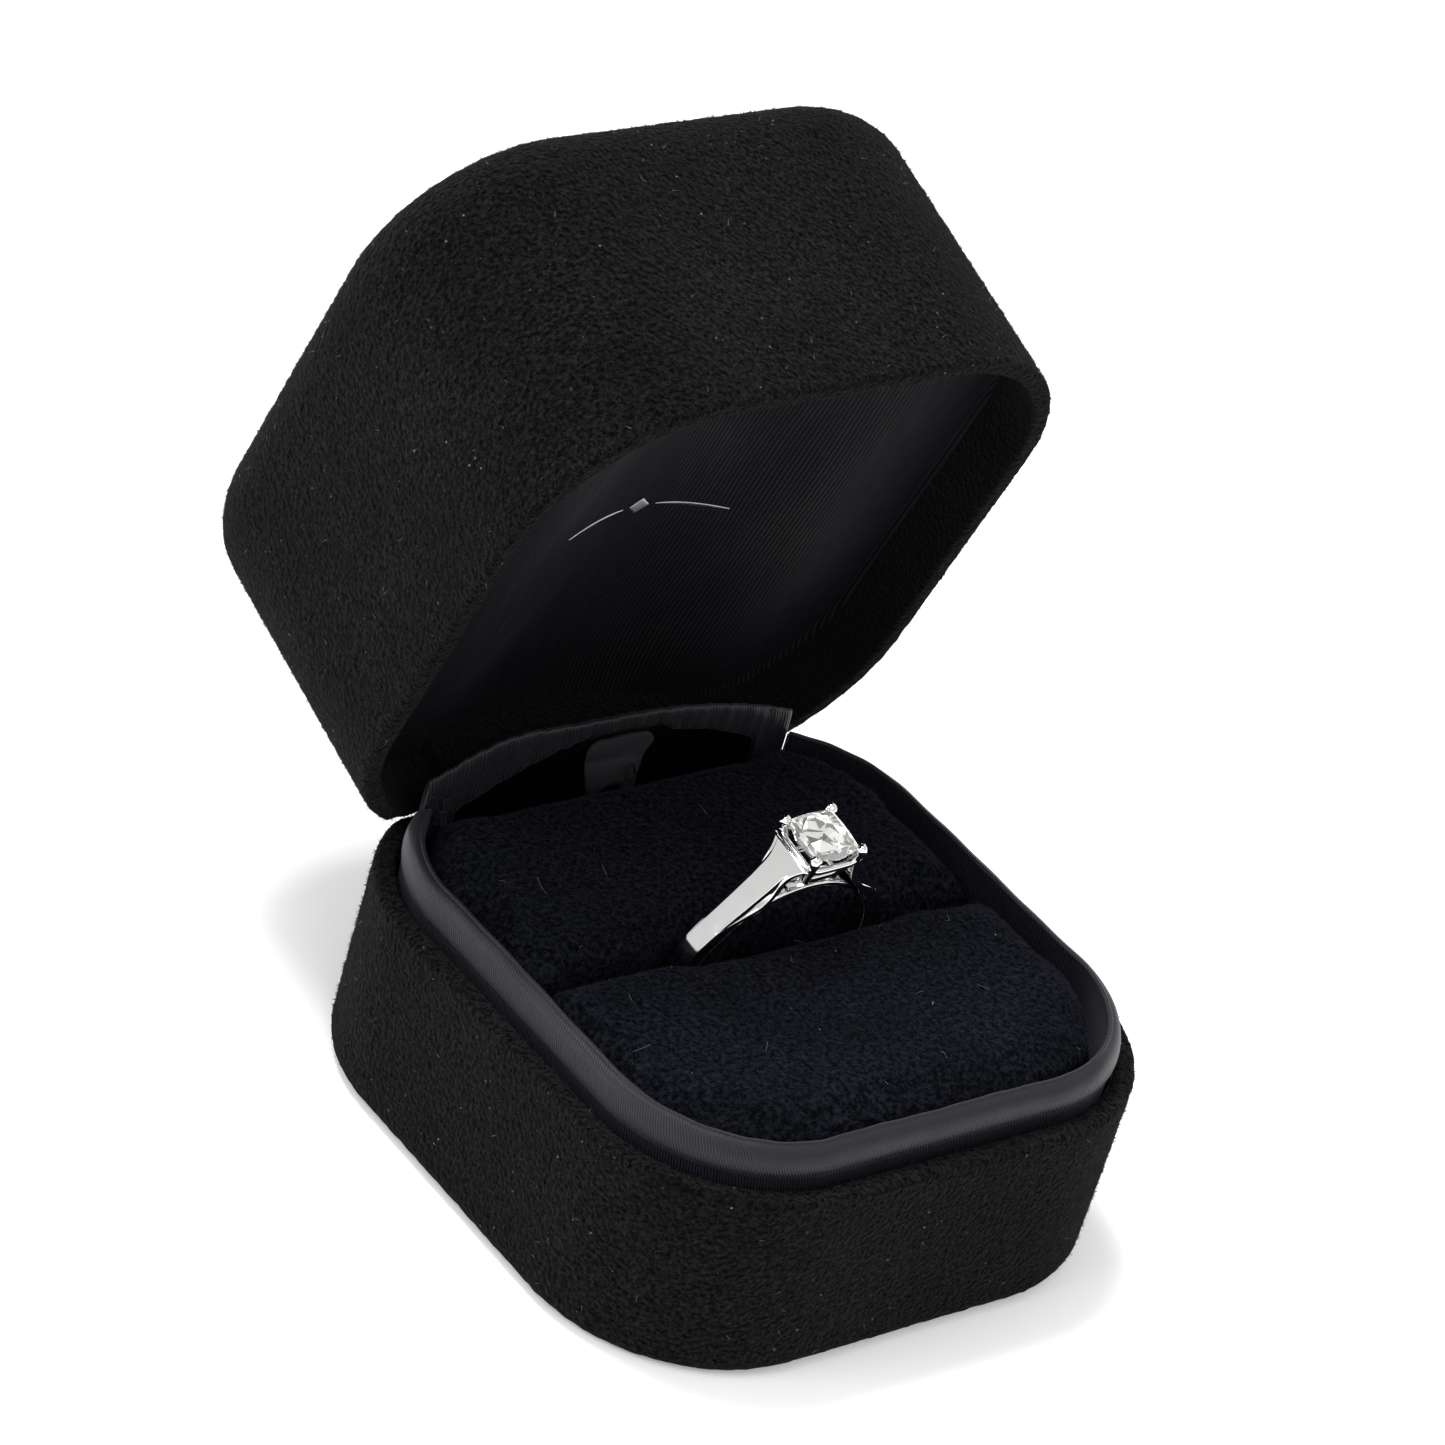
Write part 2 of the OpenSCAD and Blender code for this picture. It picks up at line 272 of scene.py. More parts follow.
    def finish(self, colour: bpy.types.NodeSocket | None = None,
               rough: bpy.types.NodeSocket | None = None,
               normal: bpy.types.NodeSocket | None = None) -> bpy.types.Material:
        """Joins what is given to the shader.

        Args:
            colour: base colour.
            rough: roughness.
            normal: bumped normal.

        Returns:
            The material.
        """
        for socket, name in ((colour, "Base Color"), (rough, "Roughness"), (normal, "Normal")):
            if socket is not None:
                self.join(socket, self.body.inputs[name])
        return self.material


@dataclass(frozen=True)
class Suede:
    """Micro-suede with a short nap, pits and stray pale specks."""

    name: str = "black_suede"
    dark: tuple[float, float, float] = (0.0012, 0.0012, 0.0013)
    light: tuple[float, float, float] = (0.0225, 0.0225, 0.0228)
    sheen: float = 0.03
    speck: float = 0.16

    def build(self) -> bpy.types.Material:
        """Makes the material.

        Returns:
            The material.
        """
        s = Shade(self.name)
        at = s.place()
        nap = s.noise(at, 2700, 4, 0.7)
        pits = s.cells(at, 2100)
        lay = s.noise(at, 90, 2, 0.55)
        colour = s.ramp(nap, 0.44, 0.64, self.dark, self.light)
        shaded = s.mix(s.math("MULTIPLY", lay, 0.9), colour, self.dark)
        specks = s.cells(at, 800)
        few = s.math("GREATER_THAN", s.noise(at, 330, 1, 0.5), 0.58)
        dot = s.math("MULTIPLY", s.math("LESS_THAN", specks, 0.075), few)
        colour = s.mix(dot, shaded, (self.speck, self.speck * 0.98, self.speck * 0.94))
        inside = s.add("ShaderNodeAttribute", attribute_name="turned_in")
        plain = s.mix(lay, (0.0035, 0.0035, 0.004), (0.007, 0.007, 0.0075))
        colour = s.mix(inside.outputs["Fac"], colour, plain)
        s.set(Roughness=0.95, Sheen_Weight=self.sheen, Sheen_Roughness=0.38)
        s.set(Sheen_Tint=(0.9, 0.92, 1.0, 1), Specular_IOR_Level=0.03)
        fine = s.bump(nap, 0.00046, 1.0)
        return s.finish(colour, None, s.bump(pits, 0.00026, 0.9, fine))


@dataclass(frozen=True)
class Velvet:
    """Navy black velvet with a dense short pile."""

    name: str = "navy_velvet"
    dark: tuple[float, float, float] = (0.0012, 0.0014, 0.0022)
    light: tuple[float, float, float] = (0.0175, 0.019, 0.0265)

    def build(self) -> bpy.types.Material:
        """Makes the material.

        Returns:
            The material.
        """
        s = Shade(self.name)
        at = s.place()
        pile = s.noise(at, 2300, 3, 0.6, 0.3)
        tufts = s.noise(at, 900, 2, 0.5, 0.2)
        brushed = s.noise(at, 90, 2, 0.5, 0.8)
        colour = s.ramp(pile, 0.42, 0.7, self.dark, self.light)
        colour = s.mix(s.math("MULTIPLY", brushed, 0.8), colour, self.dark)
        s.set(Roughness=0.9, Sheen_Weight=0.025, Sheen_Roughness=0.3)
        s.set(Sheen_Tint=(0.6, 0.68, 1.0, 1), Specular_IOR_Level=0.02)
        fine = s.bump(pile, 0.0003, 1.0)
        return s.finish(colour, None, s.bump(tufts, 0.0005, 0.8, fine))


@dataclass(frozen=True)
class Satin:
    """Charcoal satin with a fine twill that follows the cloth."""

    name: str = "charcoal_satin"
    dark: tuple[float, float, float] = (0.0015, 0.0014, 0.0024)
    light: tuple[float, float, float] = (0.022, 0.0203, 0.0285)
    yarns: float = 7400.0
    turn: float = 10.0
    rough: float = 0.42
    sheen: float = 0.08

    def build(self) -> bpy.types.Material:
        """Makes the material.

        Returns:
            The material.
        """
        s = Shade(self.name)
        along = s.place((1, 1, 1), self.turn, Coords.UV)
        twill = s.bands(along, self.yarns * YARN, 0.6)
        slub = s.noise(s.place((300, 2600, 1), self.turn, Coords.UV), 1.0, 2, 0.6)
        broad = s.noise(s.place(), 160, 2, 0.5)
        colour = s.ramp(twill, 0.25, 0.8, self.dark, self.light)
        colour = s.mix(s.math("MULTIPLY", slub, 0.5), colour, self.dark)
        spread = s.math("MULTIPLY", broad, 0.2)
        rough = s.math("ADD", spread, self.rough - 0.1)
        s.set(Sheen_Weight=self.sheen, Sheen_Roughness=0.3, Specular_IOR_Level=0.3)
        s.set(Sheen_Tint=(0.85, 0.83, 1.0, 1), Anisotropic=0.45)
        fine = s.bump(twill, 0.00004, 0.9)
        return s.finish(colour, rough, s.bump(slub, 0.00003, 0.5, fine))


@dataclass(frozen=True)
class RibbedSatin:
    """Charcoal liner satin with fine ribs running up the panel."""

    name: str = "ribbed_satin"
    dark: tuple[float, float, float] = (0.003, 0.0029, 0.0037)
    light: tuple[float, float, float] = (0.0175, 0.0165, 0.0205)
    ribs: float = 5300.0

    def build(self) -> bpy.types.Material:
        """Makes the material.

        Returns:
            The material.
        """
        s = Shade(self.name)
        at = s.place((1, 1, 1), 0.0, Coords.UV)
        ribs = s.bands(at, self.ribs * YARN, 0.35)
        yarn = s.noise(s.place((900, 160, 1), 0.0, Coords.UV), 1.0, 3, 0.6)
        cross = s.noise(s.place((1600, 2600, 1), 0.0, Coords.UV), 1.0, 1, 0.5)
        colour = s.ramp(ribs, 0.15, 0.95, self.dark, self.light)
        colour = s.mix(s.math("MULTIPLY", yarn, 0.8), colour, self.dark)
        rough = s.math("ADD", s.math("MULTIPLY", yarn, 0.22), 0.42)
        s.set(Sheen_Weight=0.02, Sheen_Roughness=0.35, Specular_IOR_Level=0.045)
        s.set(Sheen_Tint=(0.88, 0.86, 1.0, 1), Anisotropic=0.35)
        fine = s.bump(ribs, 0.00003, 0.8)
        return s.finish(colour, rough, s.bump(cross, 0.00002, 0.5, fine))


@dataclass(frozen=True)
class Metal:
    """Bare metal with a rubbed or brushed surface, darkened by painted shade where the painted_shade
    attribute is set.
    """

    name: str
    colour: tuple[float, float, float]
    rough: float
    marks: float
    depth: float

    def build(self) -> bpy.types.Material:
        """Makes the material.

        Returns:
            The material.
        """
        s = Shade(self.name)
        stretch = s.place((self.marks, self.marks * 6, self.marks), 20.0)
        marks = s.noise(stretch, 1.0, 3, 0.6)
        wear = s.noise(s.place(), 500, 2, 0.5)
        base = s.ramp(wear, 0.2, 0.8, tuple(c * 0.94 for c in self.colour), self.colour)
        # painted shade: the attribute darkens the colour to stand in for the dark reflection the
        # metal shows
        painted_shade = s.add("ShaderNodeAttribute", attribute_name="painted_shade")
        base = s.mix(painted_shade.outputs["Fac"], base, tuple(c * 0.06 for c in self.colour))
        rough = s.math("ADD", s.math("MULTIPLY", wear, self.rough * 0.6), self.rough * 0.7)
        s.set(Metallic=1.0)
        return s.finish(base, rough, s.bump(marks, self.depth, 0.5))


@dataclass(frozen=True)
class Stone:
    """Clear stone with a high refractive index and a faint painted glow."""

    name: str = "clear_stone"

    def build(self) -> bpy.types.Material:
        """Makes the material.

        Returns:
            The material.
        """
        s = Shade(self.name)
        s.set(Roughness=0.0, IOR=2.25, Transmission_Weight=1.0)
        # painted light: a faint emission makes the stone glow brighter than its lighting gives
        s.set(Emission_Color=(1.0, 0.99, 0.96, 1), Emission_Strength=0.05)
        tint = s.noise(s.place((1, 1, 1), 30.0), 900, 2)
        return s.finish(s.ramp(tint, 0.2, 0.8, (1.0, 1.0, 1.0), (0.97, 0.96, 0.93)))


@dataclass(frozen=True)
class Board:
    """Board, foam, felt or moulded plastic: a grained matt surface."""

    name: str
    colour: tuple[float, float, float]
    grain: float
    depth: float
    rough: float = 0.8
    sheen: float = 0.0
    gloss: float = 0.3

    def build(self) -> bpy.types.Material:
        """Makes the material.

        Returns:
            The material.
        """
        s = Shade(self.name)
        at = s.place()
        grain = s.noise(at, self.grain, 4, 0.6)
        dark = tuple(c * 0.6 for c in self.colour)
        colour = s.ramp(grain, 0.3, 0.75, dark, self.colour)
        rough = s.math("ADD", s.math("MULTIPLY", grain, 0.2), self.rough - 0.1)
        s.set(Sheen_Weight=self.sheen, Specular_IOR_Level=self.gloss)
        return s.finish(colour, rough, s.bump(grain, self.depth, 0.6))


@dataclass(frozen=True)
class Finishes:
    """Every material of the box, built once."""

    suede: bpy.types.Material
    velvet: bpy.types.Material
    satin: bpy.types.Material
    arch_satin: bpy.types.Material
    liner: bpy.types.Material
    lint: bpy.types.Material
    nap: bpy.types.Material
    pile: bpy.types.Material
    foil: bpy.types.Material
    steel: bpy.types.Material
    ring: bpy.types.Material
    stone: bpy.types.Material
    shell: bpy.types.Material
    board: bpy.types.Material
    foam: bpy.types.Material
    felt: bpy.types.Material
    shade_sheet: bpy.types.Material

    @staticmethod
    def make() -> "Finishes":
        """Builds all finishes.

        Returns:
            The finishes.
        """
        return Finishes(
            suede=Suede().build(),
            velvet=Velvet().build(),
            satin=Satin().build(),
            arch_satin=Satin(name="arch_satin", dark=(0.004, 0.0037, 0.0052),
                             light=(0.017, 0.0155, 0.021), yarns=7000.0, turn=4.0,
                             rough=0.5).build(),
            liner=RibbedSatin().build(),
            lint=Board("pale_lint", (0.2, 0.21, 0.24), 3000, 0.00001, 0.8, 0.1).build(),
            nap=Board("suede_nap", (0.019, 0.019, 0.019), 1200, 0.00001, 0.8, 0.02, 0.05).build(),
            pile=Board("velvet_pile", (0.017, 0.0185, 0.026), 1500, 0.00001, 0.8, 0.02,
                       0.04).build(),
            foil=Metal("silver_foil", (0.62, 0.63, 0.66), 0.34, 900, 0.00002).build(),
            steel=Metal("blackened_steel", (0.03, 0.03, 0.032), 0.5, 800, 0.00002).build(),
            ring=Metal("polished_white_metal", (0.86, 0.85, 0.84), 0.07, 500, 0.000002).build(),
            stone=Stone().build(),
            shell=Board("black_moulding", (0.03, 0.03, 0.032), 1500, 0.00003, 0.5).build(),
            board=Board("grey_board", (0.16, 0.15, 0.14), 2200, 0.00004).build(),
            foam=Board("dark_foam", (0.06, 0.06, 0.065), 1400, 0.0002).build(),
            # painted shade: a near-black sheet with no gloss, standing in for the shadow in the
            # arch's windows
            shade_sheet=Board("painted_shade_black", (0.0014, 0.0014, 0.0015), 5000, 0.00002, 0.95, 0.0,
                        0.0).build(),
            felt=Board("black_felt", (0.01, 0.01, 0.011), 2400, 0.0001, 0.9, 0.05, 0.1).build(),
        )


# ---------------------------------------------------------------- shared mesh tools


def to_object(bm: bmesh.types.BMesh, name: str) -> bpy.types.Object:
    """Turns a bmesh into an object in the scene, shaded smooth.

    Args:
        bm: the mesh, freed afterwards.
        name: name of the piece.

    Returns:
        The object.
    """
    mesh = bpy.data.meshes.new(name)
    bm.to_mesh(mesh)
    bm.free()
    mesh.shade_smooth()
    obj = bpy.data.objects.new(name, mesh)
    bpy.context.scene.collection.objects.link(obj)
    return obj


def wrap_grid(name: str, rows: int, columns: int, place: Callable[[Array, Array], Array],
              size: tuple[float, float] = (1.0, 1.0)) -> bpy.types.Object:
    """Lays a grid on a surface, sews its edges where they meet and turns it outwards.

    Args:
        name: name of the piece.
        rows: faces along u.
        columns: faces along v.
        place: gives points for the whole numbers i and j of every grid point.
        size: length of the cloth along u and v, for the UV map.

    Returns:
        The object.
    """
    bm = bmesh.new()
    bmesh.ops.create_grid(bm, x_segments=rows, y_segments=columns, size=0.5)
    flat = np.array([v.co[:2] for v in bm.verts]) + 0.5
    points = place(np.rint(flat[:, 0] * rows).astype(int), np.rint(flat[:, 1] * columns).astype(int))
    layer = bm.loops.layers.uv.new("cloth")
    for face in bm.faces:
        for loop in face.loops:
            u, v = flat[loop.vert.index]
            loop[layer].uv = (u * size[0], v * size[1])
    for vert, point in zip(bm.verts, points):
        vert.co = point
    bmesh.ops.remove_doubles(bm, verts=bm.verts[:], dist=2e-7)
    bmesh.ops.dissolve_degenerate(bm, edges=bm.edges[:], dist=1e-8)
    bmesh.ops.recalc_face_normals(bm, faces=bm.faces[:])
    return to_object(bm, name)


def roughen(obj: bpy.types.Object, size: float, depth: float, seed: float,
            octaves: int = 2) -> None:
    """Moves a surface in and out along its normals.

    Args:
        obj: the piece.
        size: size of the lumps in metres.
        depth: greatest move in metres.
        seed: shifts the pattern.
        octaves: layers of noise.
    """
    shift = Vector((seed, seed * 2, -seed))
    count = len(obj.data.vertices)
    co, normal = np.empty(count * 3), np.empty(count * 3)
    obj.data.vertices.foreach_get("co", co)
    obj.data.vertices.foreach_get("normal", normal)
    push = np.array([noise.fractal(Vector(p) / size + shift, 0.8, 2.0, octaves)
                     for p in co.reshape(-1, 3)])
    obj.data.vertices.foreach_set("co", co + normal * np.repeat(push, 3) * depth)
    obj.data.update()


def transform(obj: bpy.types.Object, matrix: Matrix) -> bpy.types.Object:
    """Moves a piece by changing its mesh, and returns it.

    Args:
        obj: the piece.
        matrix: the move.

    Returns:
        The piece.
    """
    obj.data.transform(matrix)
    obj.data.update()
    return obj


def dress(obj: bpy.types.Object, finish: bpy.types.Material) -> bpy.types.Object:
    """Gives a piece one finish, and returns it.

    Args:
        obj: the piece.
        finish: its material.

    Returns:
        The piece.
    """
    obj.data.materials.clear()
    obj.data.materials.append(finish)
    return obj


def bar(name: str, path: Array, widths: Array, depths: Array, side: Sequence[float],
        closed: bool = False, edge: float = 4.0, steps: int = 20) -> bpy.types.Object:
    """Sweeps a rounded oblong along a path.

    Args:
        name: name of the piece.
        path: points of the path.
        widths: width along the side direction at each point.
        depths: depth across the path at each point.
        side: direction of the width.
        closed: whether the path is a ring.
        edge: how square the oblong is, 2 being an ellipse.
        steps: points round the oblong.

    Returns:
        The object.
    """
    count = len(path)
    ahead = np.roll(path, -1, 0) - np.roll(path, 1, 0)
    if not closed:
        ahead[0], ahead[-1] = path[1] - path[0], path[-1] - path[-2]
    ahead /= np.linalg.norm(ahead, axis=1)[:, None]
    across = np.tile(np.asarray(side, float), (count, 1))
    across -= ahead * (across * ahead).sum(1)[:, None]
    across /= np.linalg.norm(across, axis=1)[:, None]
    up = np.cross(ahead, across)
    turn = np.linspace(0, 2 * np.pi, steps + 1)
    c, s = np.cos(turn), np.sin(turn)
    a = np.sign(c) * np.abs(c) ** (2 / edge)
    b = np.sign(s) * np.abs(s) ** (2 / edge)
    extra = 0 if closed else 2

    def place(i: Array, j: Array) -> Array:
        """Gives the points of the bar, its ends drawn to a point.

        Args:
            i: numbers along the path.
            j: numbers round the oblong.

        Returns:
            The points.
        """
        k = i % count if closed else np.clip(i - 1, 0, count - 1)
        grow = np.ones(len(i))
        if not closed:
            grow = np.where((i == 0) | (i == count + 1), 0.0, 1.0)
        return (path[k] + across[k] * (widths[k] / 2 * a[j] * grow)[:, None]
                + up[k] * (depths[k] / 2 * b[j] * grow)[:, None])

    return wrap_grid(name, count if closed else count - 1 + extra, steps, place)


def joined(name: str, parts: Sequence[bpy.types.Object]) -> bpy.types.Object:
    """Joins pieces into the first one, as one mesh.

    Args:
        name: name of the whole.
        parts: the pieces.

    Returns:
        The whole.
    """
    bm = bmesh.new()
    for part in parts:
        bm.from_mesh(part.data)
        bpy.data.objects.remove(part)
    return to_object(bm, name)


def roots(ground: bpy.types.Object, count: int, lean: float, rng: np.random.Generator,
          keep: Callable[[Array, Array], Array]) -> tuple[Array, Array]:
    """Chooses where fibres stand on a surface, evenly by area, and which way each points.

    Args:
        ground: the surface.
        count: number of fibres.
        lean: how far fibres lean, as a share of their length.
        rng: source of the random draws.
        keep: chooses faces by middle and normal.

    Returns:
        The roots and the directions.
    """
    mesh = ground.data
    mesh.calc_loop_triangles()
    tris = np.empty(len(mesh.loop_triangles) * 3, int)
    mesh.loop_triangles.foreach_get("vertices", tris)
    verts = np.empty(len(mesh.vertices) * 3)
    mesh.vertices.foreach_get("co", verts)
    corners = verts.reshape(-1, 3)[tris.reshape(-1, 3)]
    normal = np.cross(corners[:, 1] - corners[:, 0], corners[:, 2] - corners[:, 0])
    area = np.linalg.norm(normal, axis=1)
    normal /= np.maximum(area, 1e-15)[:, None]
    area = area * keep(corners.mean(1), normal)
    picks = rng.choice(len(area), count, p=area / area.sum())
    share = rng.dirichlet((1, 1, 1), count)
    root = (corners[picks] * share[:, :, None]).sum(1)
    up = normal[picks] + rng.normal(0, lean, (count, 3))
    return root, up / np.linalg.norm(up, axis=1)[:, None]


def spikes(name: str, count: int) -> tuple[bpy.types.Mesh, int]:
    """Makes a mesh of at least so many three sided spikes, by doubling a first one.

    Args:
        name: name of the mesh.
        count: least number of spikes.

    Returns:
        The mesh, and the vertices of one spike.
    """
    spike = bmesh.new()
    bmesh.ops.create_cone(spike, segments=3, radius1=0.5, radius2=0.0, depth=1.0, cap_ends=False)
    bmesh.ops.remove_doubles(spike, verts=spike.verts[:], dist=1e-6)
    mesh = bpy.data.meshes.new(name)
    spike.to_mesh(mesh)
    spike.free()
    each = len(mesh.vertices)
    while len(mesh.vertices) < count * each:
        double = bmesh.new()
        double.from_mesh(mesh)
        double.from_mesh(mesh)
        double.to_mesh(mesh)
        double.free()
    return mesh, each


def sprout(name: str, ground: bpy.types.Object, count: int, length: float, thick: float,
           lean: float, seed: int, keep: Callable[[Array, Array], Array]) -> bpy.types.Object:
    """Stands short tapered fibres on a surface.

    Args:
        name: name of the piece.
        ground: the surface.
        count: number of fibres.
        length: mean length in metres.
        thick: width of a fibre's root.
        lean: how far fibres lean, as a share of their length.
        seed: seed of their places.
        keep: chooses faces by middle and normal.

    Returns:
        The fibres, as one piece.
    """
    rng = np.random.default_rng(seed)
    root, up = roots(ground, count, lean, rng, keep)
    side = np.cross(up, rng.normal(0, 1, (count, 3)))
    side /= np.linalg.norm(side, axis=1)[:, None]
    other = np.cross(up, side)
    size = length * rng.uniform(0.5, 1.4, count)
    mesh, each = spikes(name, count)
    local = np.empty(len(mesh.vertices) * 3)
    mesh.vertices.foreach_get("co", local)
    local = local.reshape(-1, each, 3)
    index = np.arange(len(local)) % count
    rise = (local[:, :, 2] + 0.5) * size[index][:, None] - thick
    made = (root[index][:, None] + up[index][:, None] * rise[:, :, None]
            + side[index][:, None] * (local[:, :, 0] * thick)[:, :, None]
            + other[index][:, None] * (local[:, :, 1] * thick)[:, :, None])
    mesh.vertices.foreach_set("co", made.ravel())
    bm = bmesh.new()
    bm.from_mesh(mesh)
    bpy.data.meshes.remove(mesh)
    bm.verts.ensure_lookup_table()
    bmesh.ops.delete(bm, geom=bm.verts[count * each:], context="VERTS")
    return to_object(bm, name)


# ---------------------------------------------------------------- the box and its parts


@dataclass(frozen=True)
class BoxSizes:
    """Sizes of the box in millimetres, as the frame has them."""

    half_w: float = 25.5
    half_d: float = 26.0
    corner: float = 14.6
    base_h: float = 16.8
    foot: float = 1.6
    rim_z: float = 17.7
    lid_top: float = 46.1
    lid_round: float = 5.3
    lid_over: float = 0.15
    lid_in: float = 1.45
    collar_out: float = 1.8
    collar_in: float = 3.2
    collar_top: float = 20.3
    hinge_y: float = 23.1
    hinge_z: float = 17.6
    open_deg: float = 72.0
    arch_half: float = 18.0
    arch_y: float = 21.1
    lean_deg: float = 10.5
    roll_deg: float = -3.0
    ring_x: float = 1.0
    ring_y: float = 0.1
    ring_up: float = 0.4
    middle: float = 25.5999
    core_depth: float = 11.0

    @property
    def opened(self) -> Matrix:
        """Carries what is drawn for the closed lid to the open position, in metres.

        Returns:
            The matrix.
        """
        pin = Vector((0, self.hinge_y * MM, self.hinge_z * MM))
        turn = Matrix.Rotation(math.radians(-self.open_deg), 4, "X")
        return Matrix.Translation(pin) @ turn @ Matrix.Translation(-pin)

    @property
    def slot(self) -> Matrix:
        """Stands the ring in the slot, from its own centre, in metres.

        Returns:
            The matrix.
        """
        seat = Vector((self.ring_x, self.ring_y, self.base_h + self.ring_up))
        lean = Matrix.Rotation(math.radians(self.lean_deg), 4, "X")
        roll = Matrix.Rotation(math.radians(self.roll_deg), 4, "Y")
        return Matrix.Translation(seat * MM) @ lean @ roll

    def walk(self, distance: Array) -> tuple[Array, Array]:
        """Walks round the box's plan, clockwise from the middle of the back.

        Args:
            distance: distances along the outside in millimetres.

        Returns:
            Core points and outward directions; a wall point is the core point plus the
            direction times the corner radius less the inset.
        """
        a, b = self.half_w - self.corner, self.half_d - self.corner
        arc = math.pi / 2 * self.corner
        ends = np.cumsum([a, arc, 2 * b, arc, 2 * a, arc, 2 * b, arc, a])
        d = np.mod(distance, ends[-1])
        core, out = np.zeros((len(d), 2)), np.zeros((len(d), 2))
        starts = np.concatenate([[0], ends[:-1]])
        straight = {0: ((0, b), (1, 0), (0, 1)), 2: ((a, b), (0, -1), (1, 0)),
                    4: ((a, -b), (-1, 0), (0, -1)), 6: ((-a, -b), (0, 1), (-1, 0)),
                    8: ((-a, b), (1, 0), (0, 1))}
        corners = {1: ((a, b), 90), 3: ((a, -b), 0), 5: ((-a, -b), -90), 7: ((-a, b), 180)}
        for k in range(9):
            here = (d >= starts[k]) & (d <= ends[k])
            t = d[here] - starts[k]
            if k in straight:
                at, along, face = straight[k]
                core[here] = np.array(at) + t[:, None] * np.array(along)
                out[here] = face
            else:
                at, angle = corners[k]
                turn = np.radians(angle) - t / self.corner
                core[here] = at
                out[here] = np.stack([np.cos(turn), np.sin(turn)], 1)
        return core, out

    @property
    def around(self) -> float:
        """Length of the outside, seen from above."""
        a, b = self.half_w - self.corner, self.half_d - self.corner
        return 4 * a + 4 * b + 2 * math.pi * self.corner

    def from_core(self, x: Array, y: Array) -> Array:
        """Distance from the plan's core; at the outside it is the corner radius."""
        a, b = self.half_w - self.corner, self.half_d - self.corner
        return np.hypot(np.maximum(np.abs(x) - a, 0), np.maximum(np.abs(y) - b, 0))

    def mitre(self, y: Array, side: int) -> Array:
        """Height of the slanting back edge of the lid (1) or the base (-1) at y."""
        slope = math.tan(math.radians(self.open_deg / 2))
        return self.hinge_z + side * (0.2 + np.maximum(y - self.hinge_y, 0) * slope)


def swept(name: str, box: BoxSizes, profile: Array, heights: Callable[[Array, Array, Array], Array],
          columns: int, span: tuple[float, float] | None = None, loop: bool = True
          ) -> bpy.types.Object:
    """Sweeps a profile round the box's plan.

    Args:
        name: name of the piece.
        box: the box's sizes.
        profile: rows of inset and height in millimetres.
        heights: final height from x, y and row number.
        columns: steps round the box.
        span: start and end of an open sweep along the outside; None goes all round.
        loop: whether the profile is a closed loop.

    Returns:
        The object, in metres.
    """
    first, last = span if span else (0.0, box.around)
    steps = first + (last - first) * np.arange(columns + 1) / columns
    core, out = box.walk(steps)
    if span is None:
        core[-1], out[-1] = core[0], out[0]
    rows = len(profile)
    reach = box.corner - profile[:, 0]

    def place(i: Array, j: Array) -> Array:
        """Gives the points of the sweep; an open sweep's ends are drawn to the middle.

        Args:
            i: column numbers.
            j: row numbers.

        Returns:
            The points.
        """
        k = i if span is None else np.clip(i - 1, 0, columns)
        r = j % rows if loop else j
        inside = reach[r] < 0
        grow = np.where(inside, 1 + reach[r] / box.core_depth, 1.0)
        xy = core[k] * grow[:, None] + out[k] * np.where(inside, 0, reach[r])[:, None]
        z = heights(xy[:, 0], xy[:, 1], r)
        if span is not None:
            end = (i == 0) | (i == columns + 2)
            middle = core[k] + out[k] * reach.mean()
            xy = np.where(end[:, None], middle, xy)
            z = np.where(end, profile[:, 1].mean(), z)
        return np.stack([xy[:, 0], xy[:, 1], z], 1) * MM

    length = np.linalg.norm(np.diff(profile, axis=0), axis=1).sum() * MM
    total = columns if span is None else columns + 2
    size = ((last - first) * MM, length)
    return wrap_grid(name, total, rows if loop else rows - 1, place, size)


def arc(centre: tuple[float, float], radius: float, start: float, end: float,
        steps: int) -> list[tuple[float, float]]:
    """Points of an arc in the profile's plane, angles in degrees."""
    turns = np.radians(np.linspace(start, end, steps))
    return [(centre[0] + radius * math.cos(t), centre[1] + radius * math.sin(t)) for t in turns]


def line(a: tuple[float, float], b: tuple[float, float], steps: int) -> list[tuple[float, float]]:
    """Points of a straight stretch, without its end."""
    return [(a[0] + (b[0] - a[0]) * k / steps, a[1] + (b[1] - a[1]) * k / steps)
            for k in range(steps)]


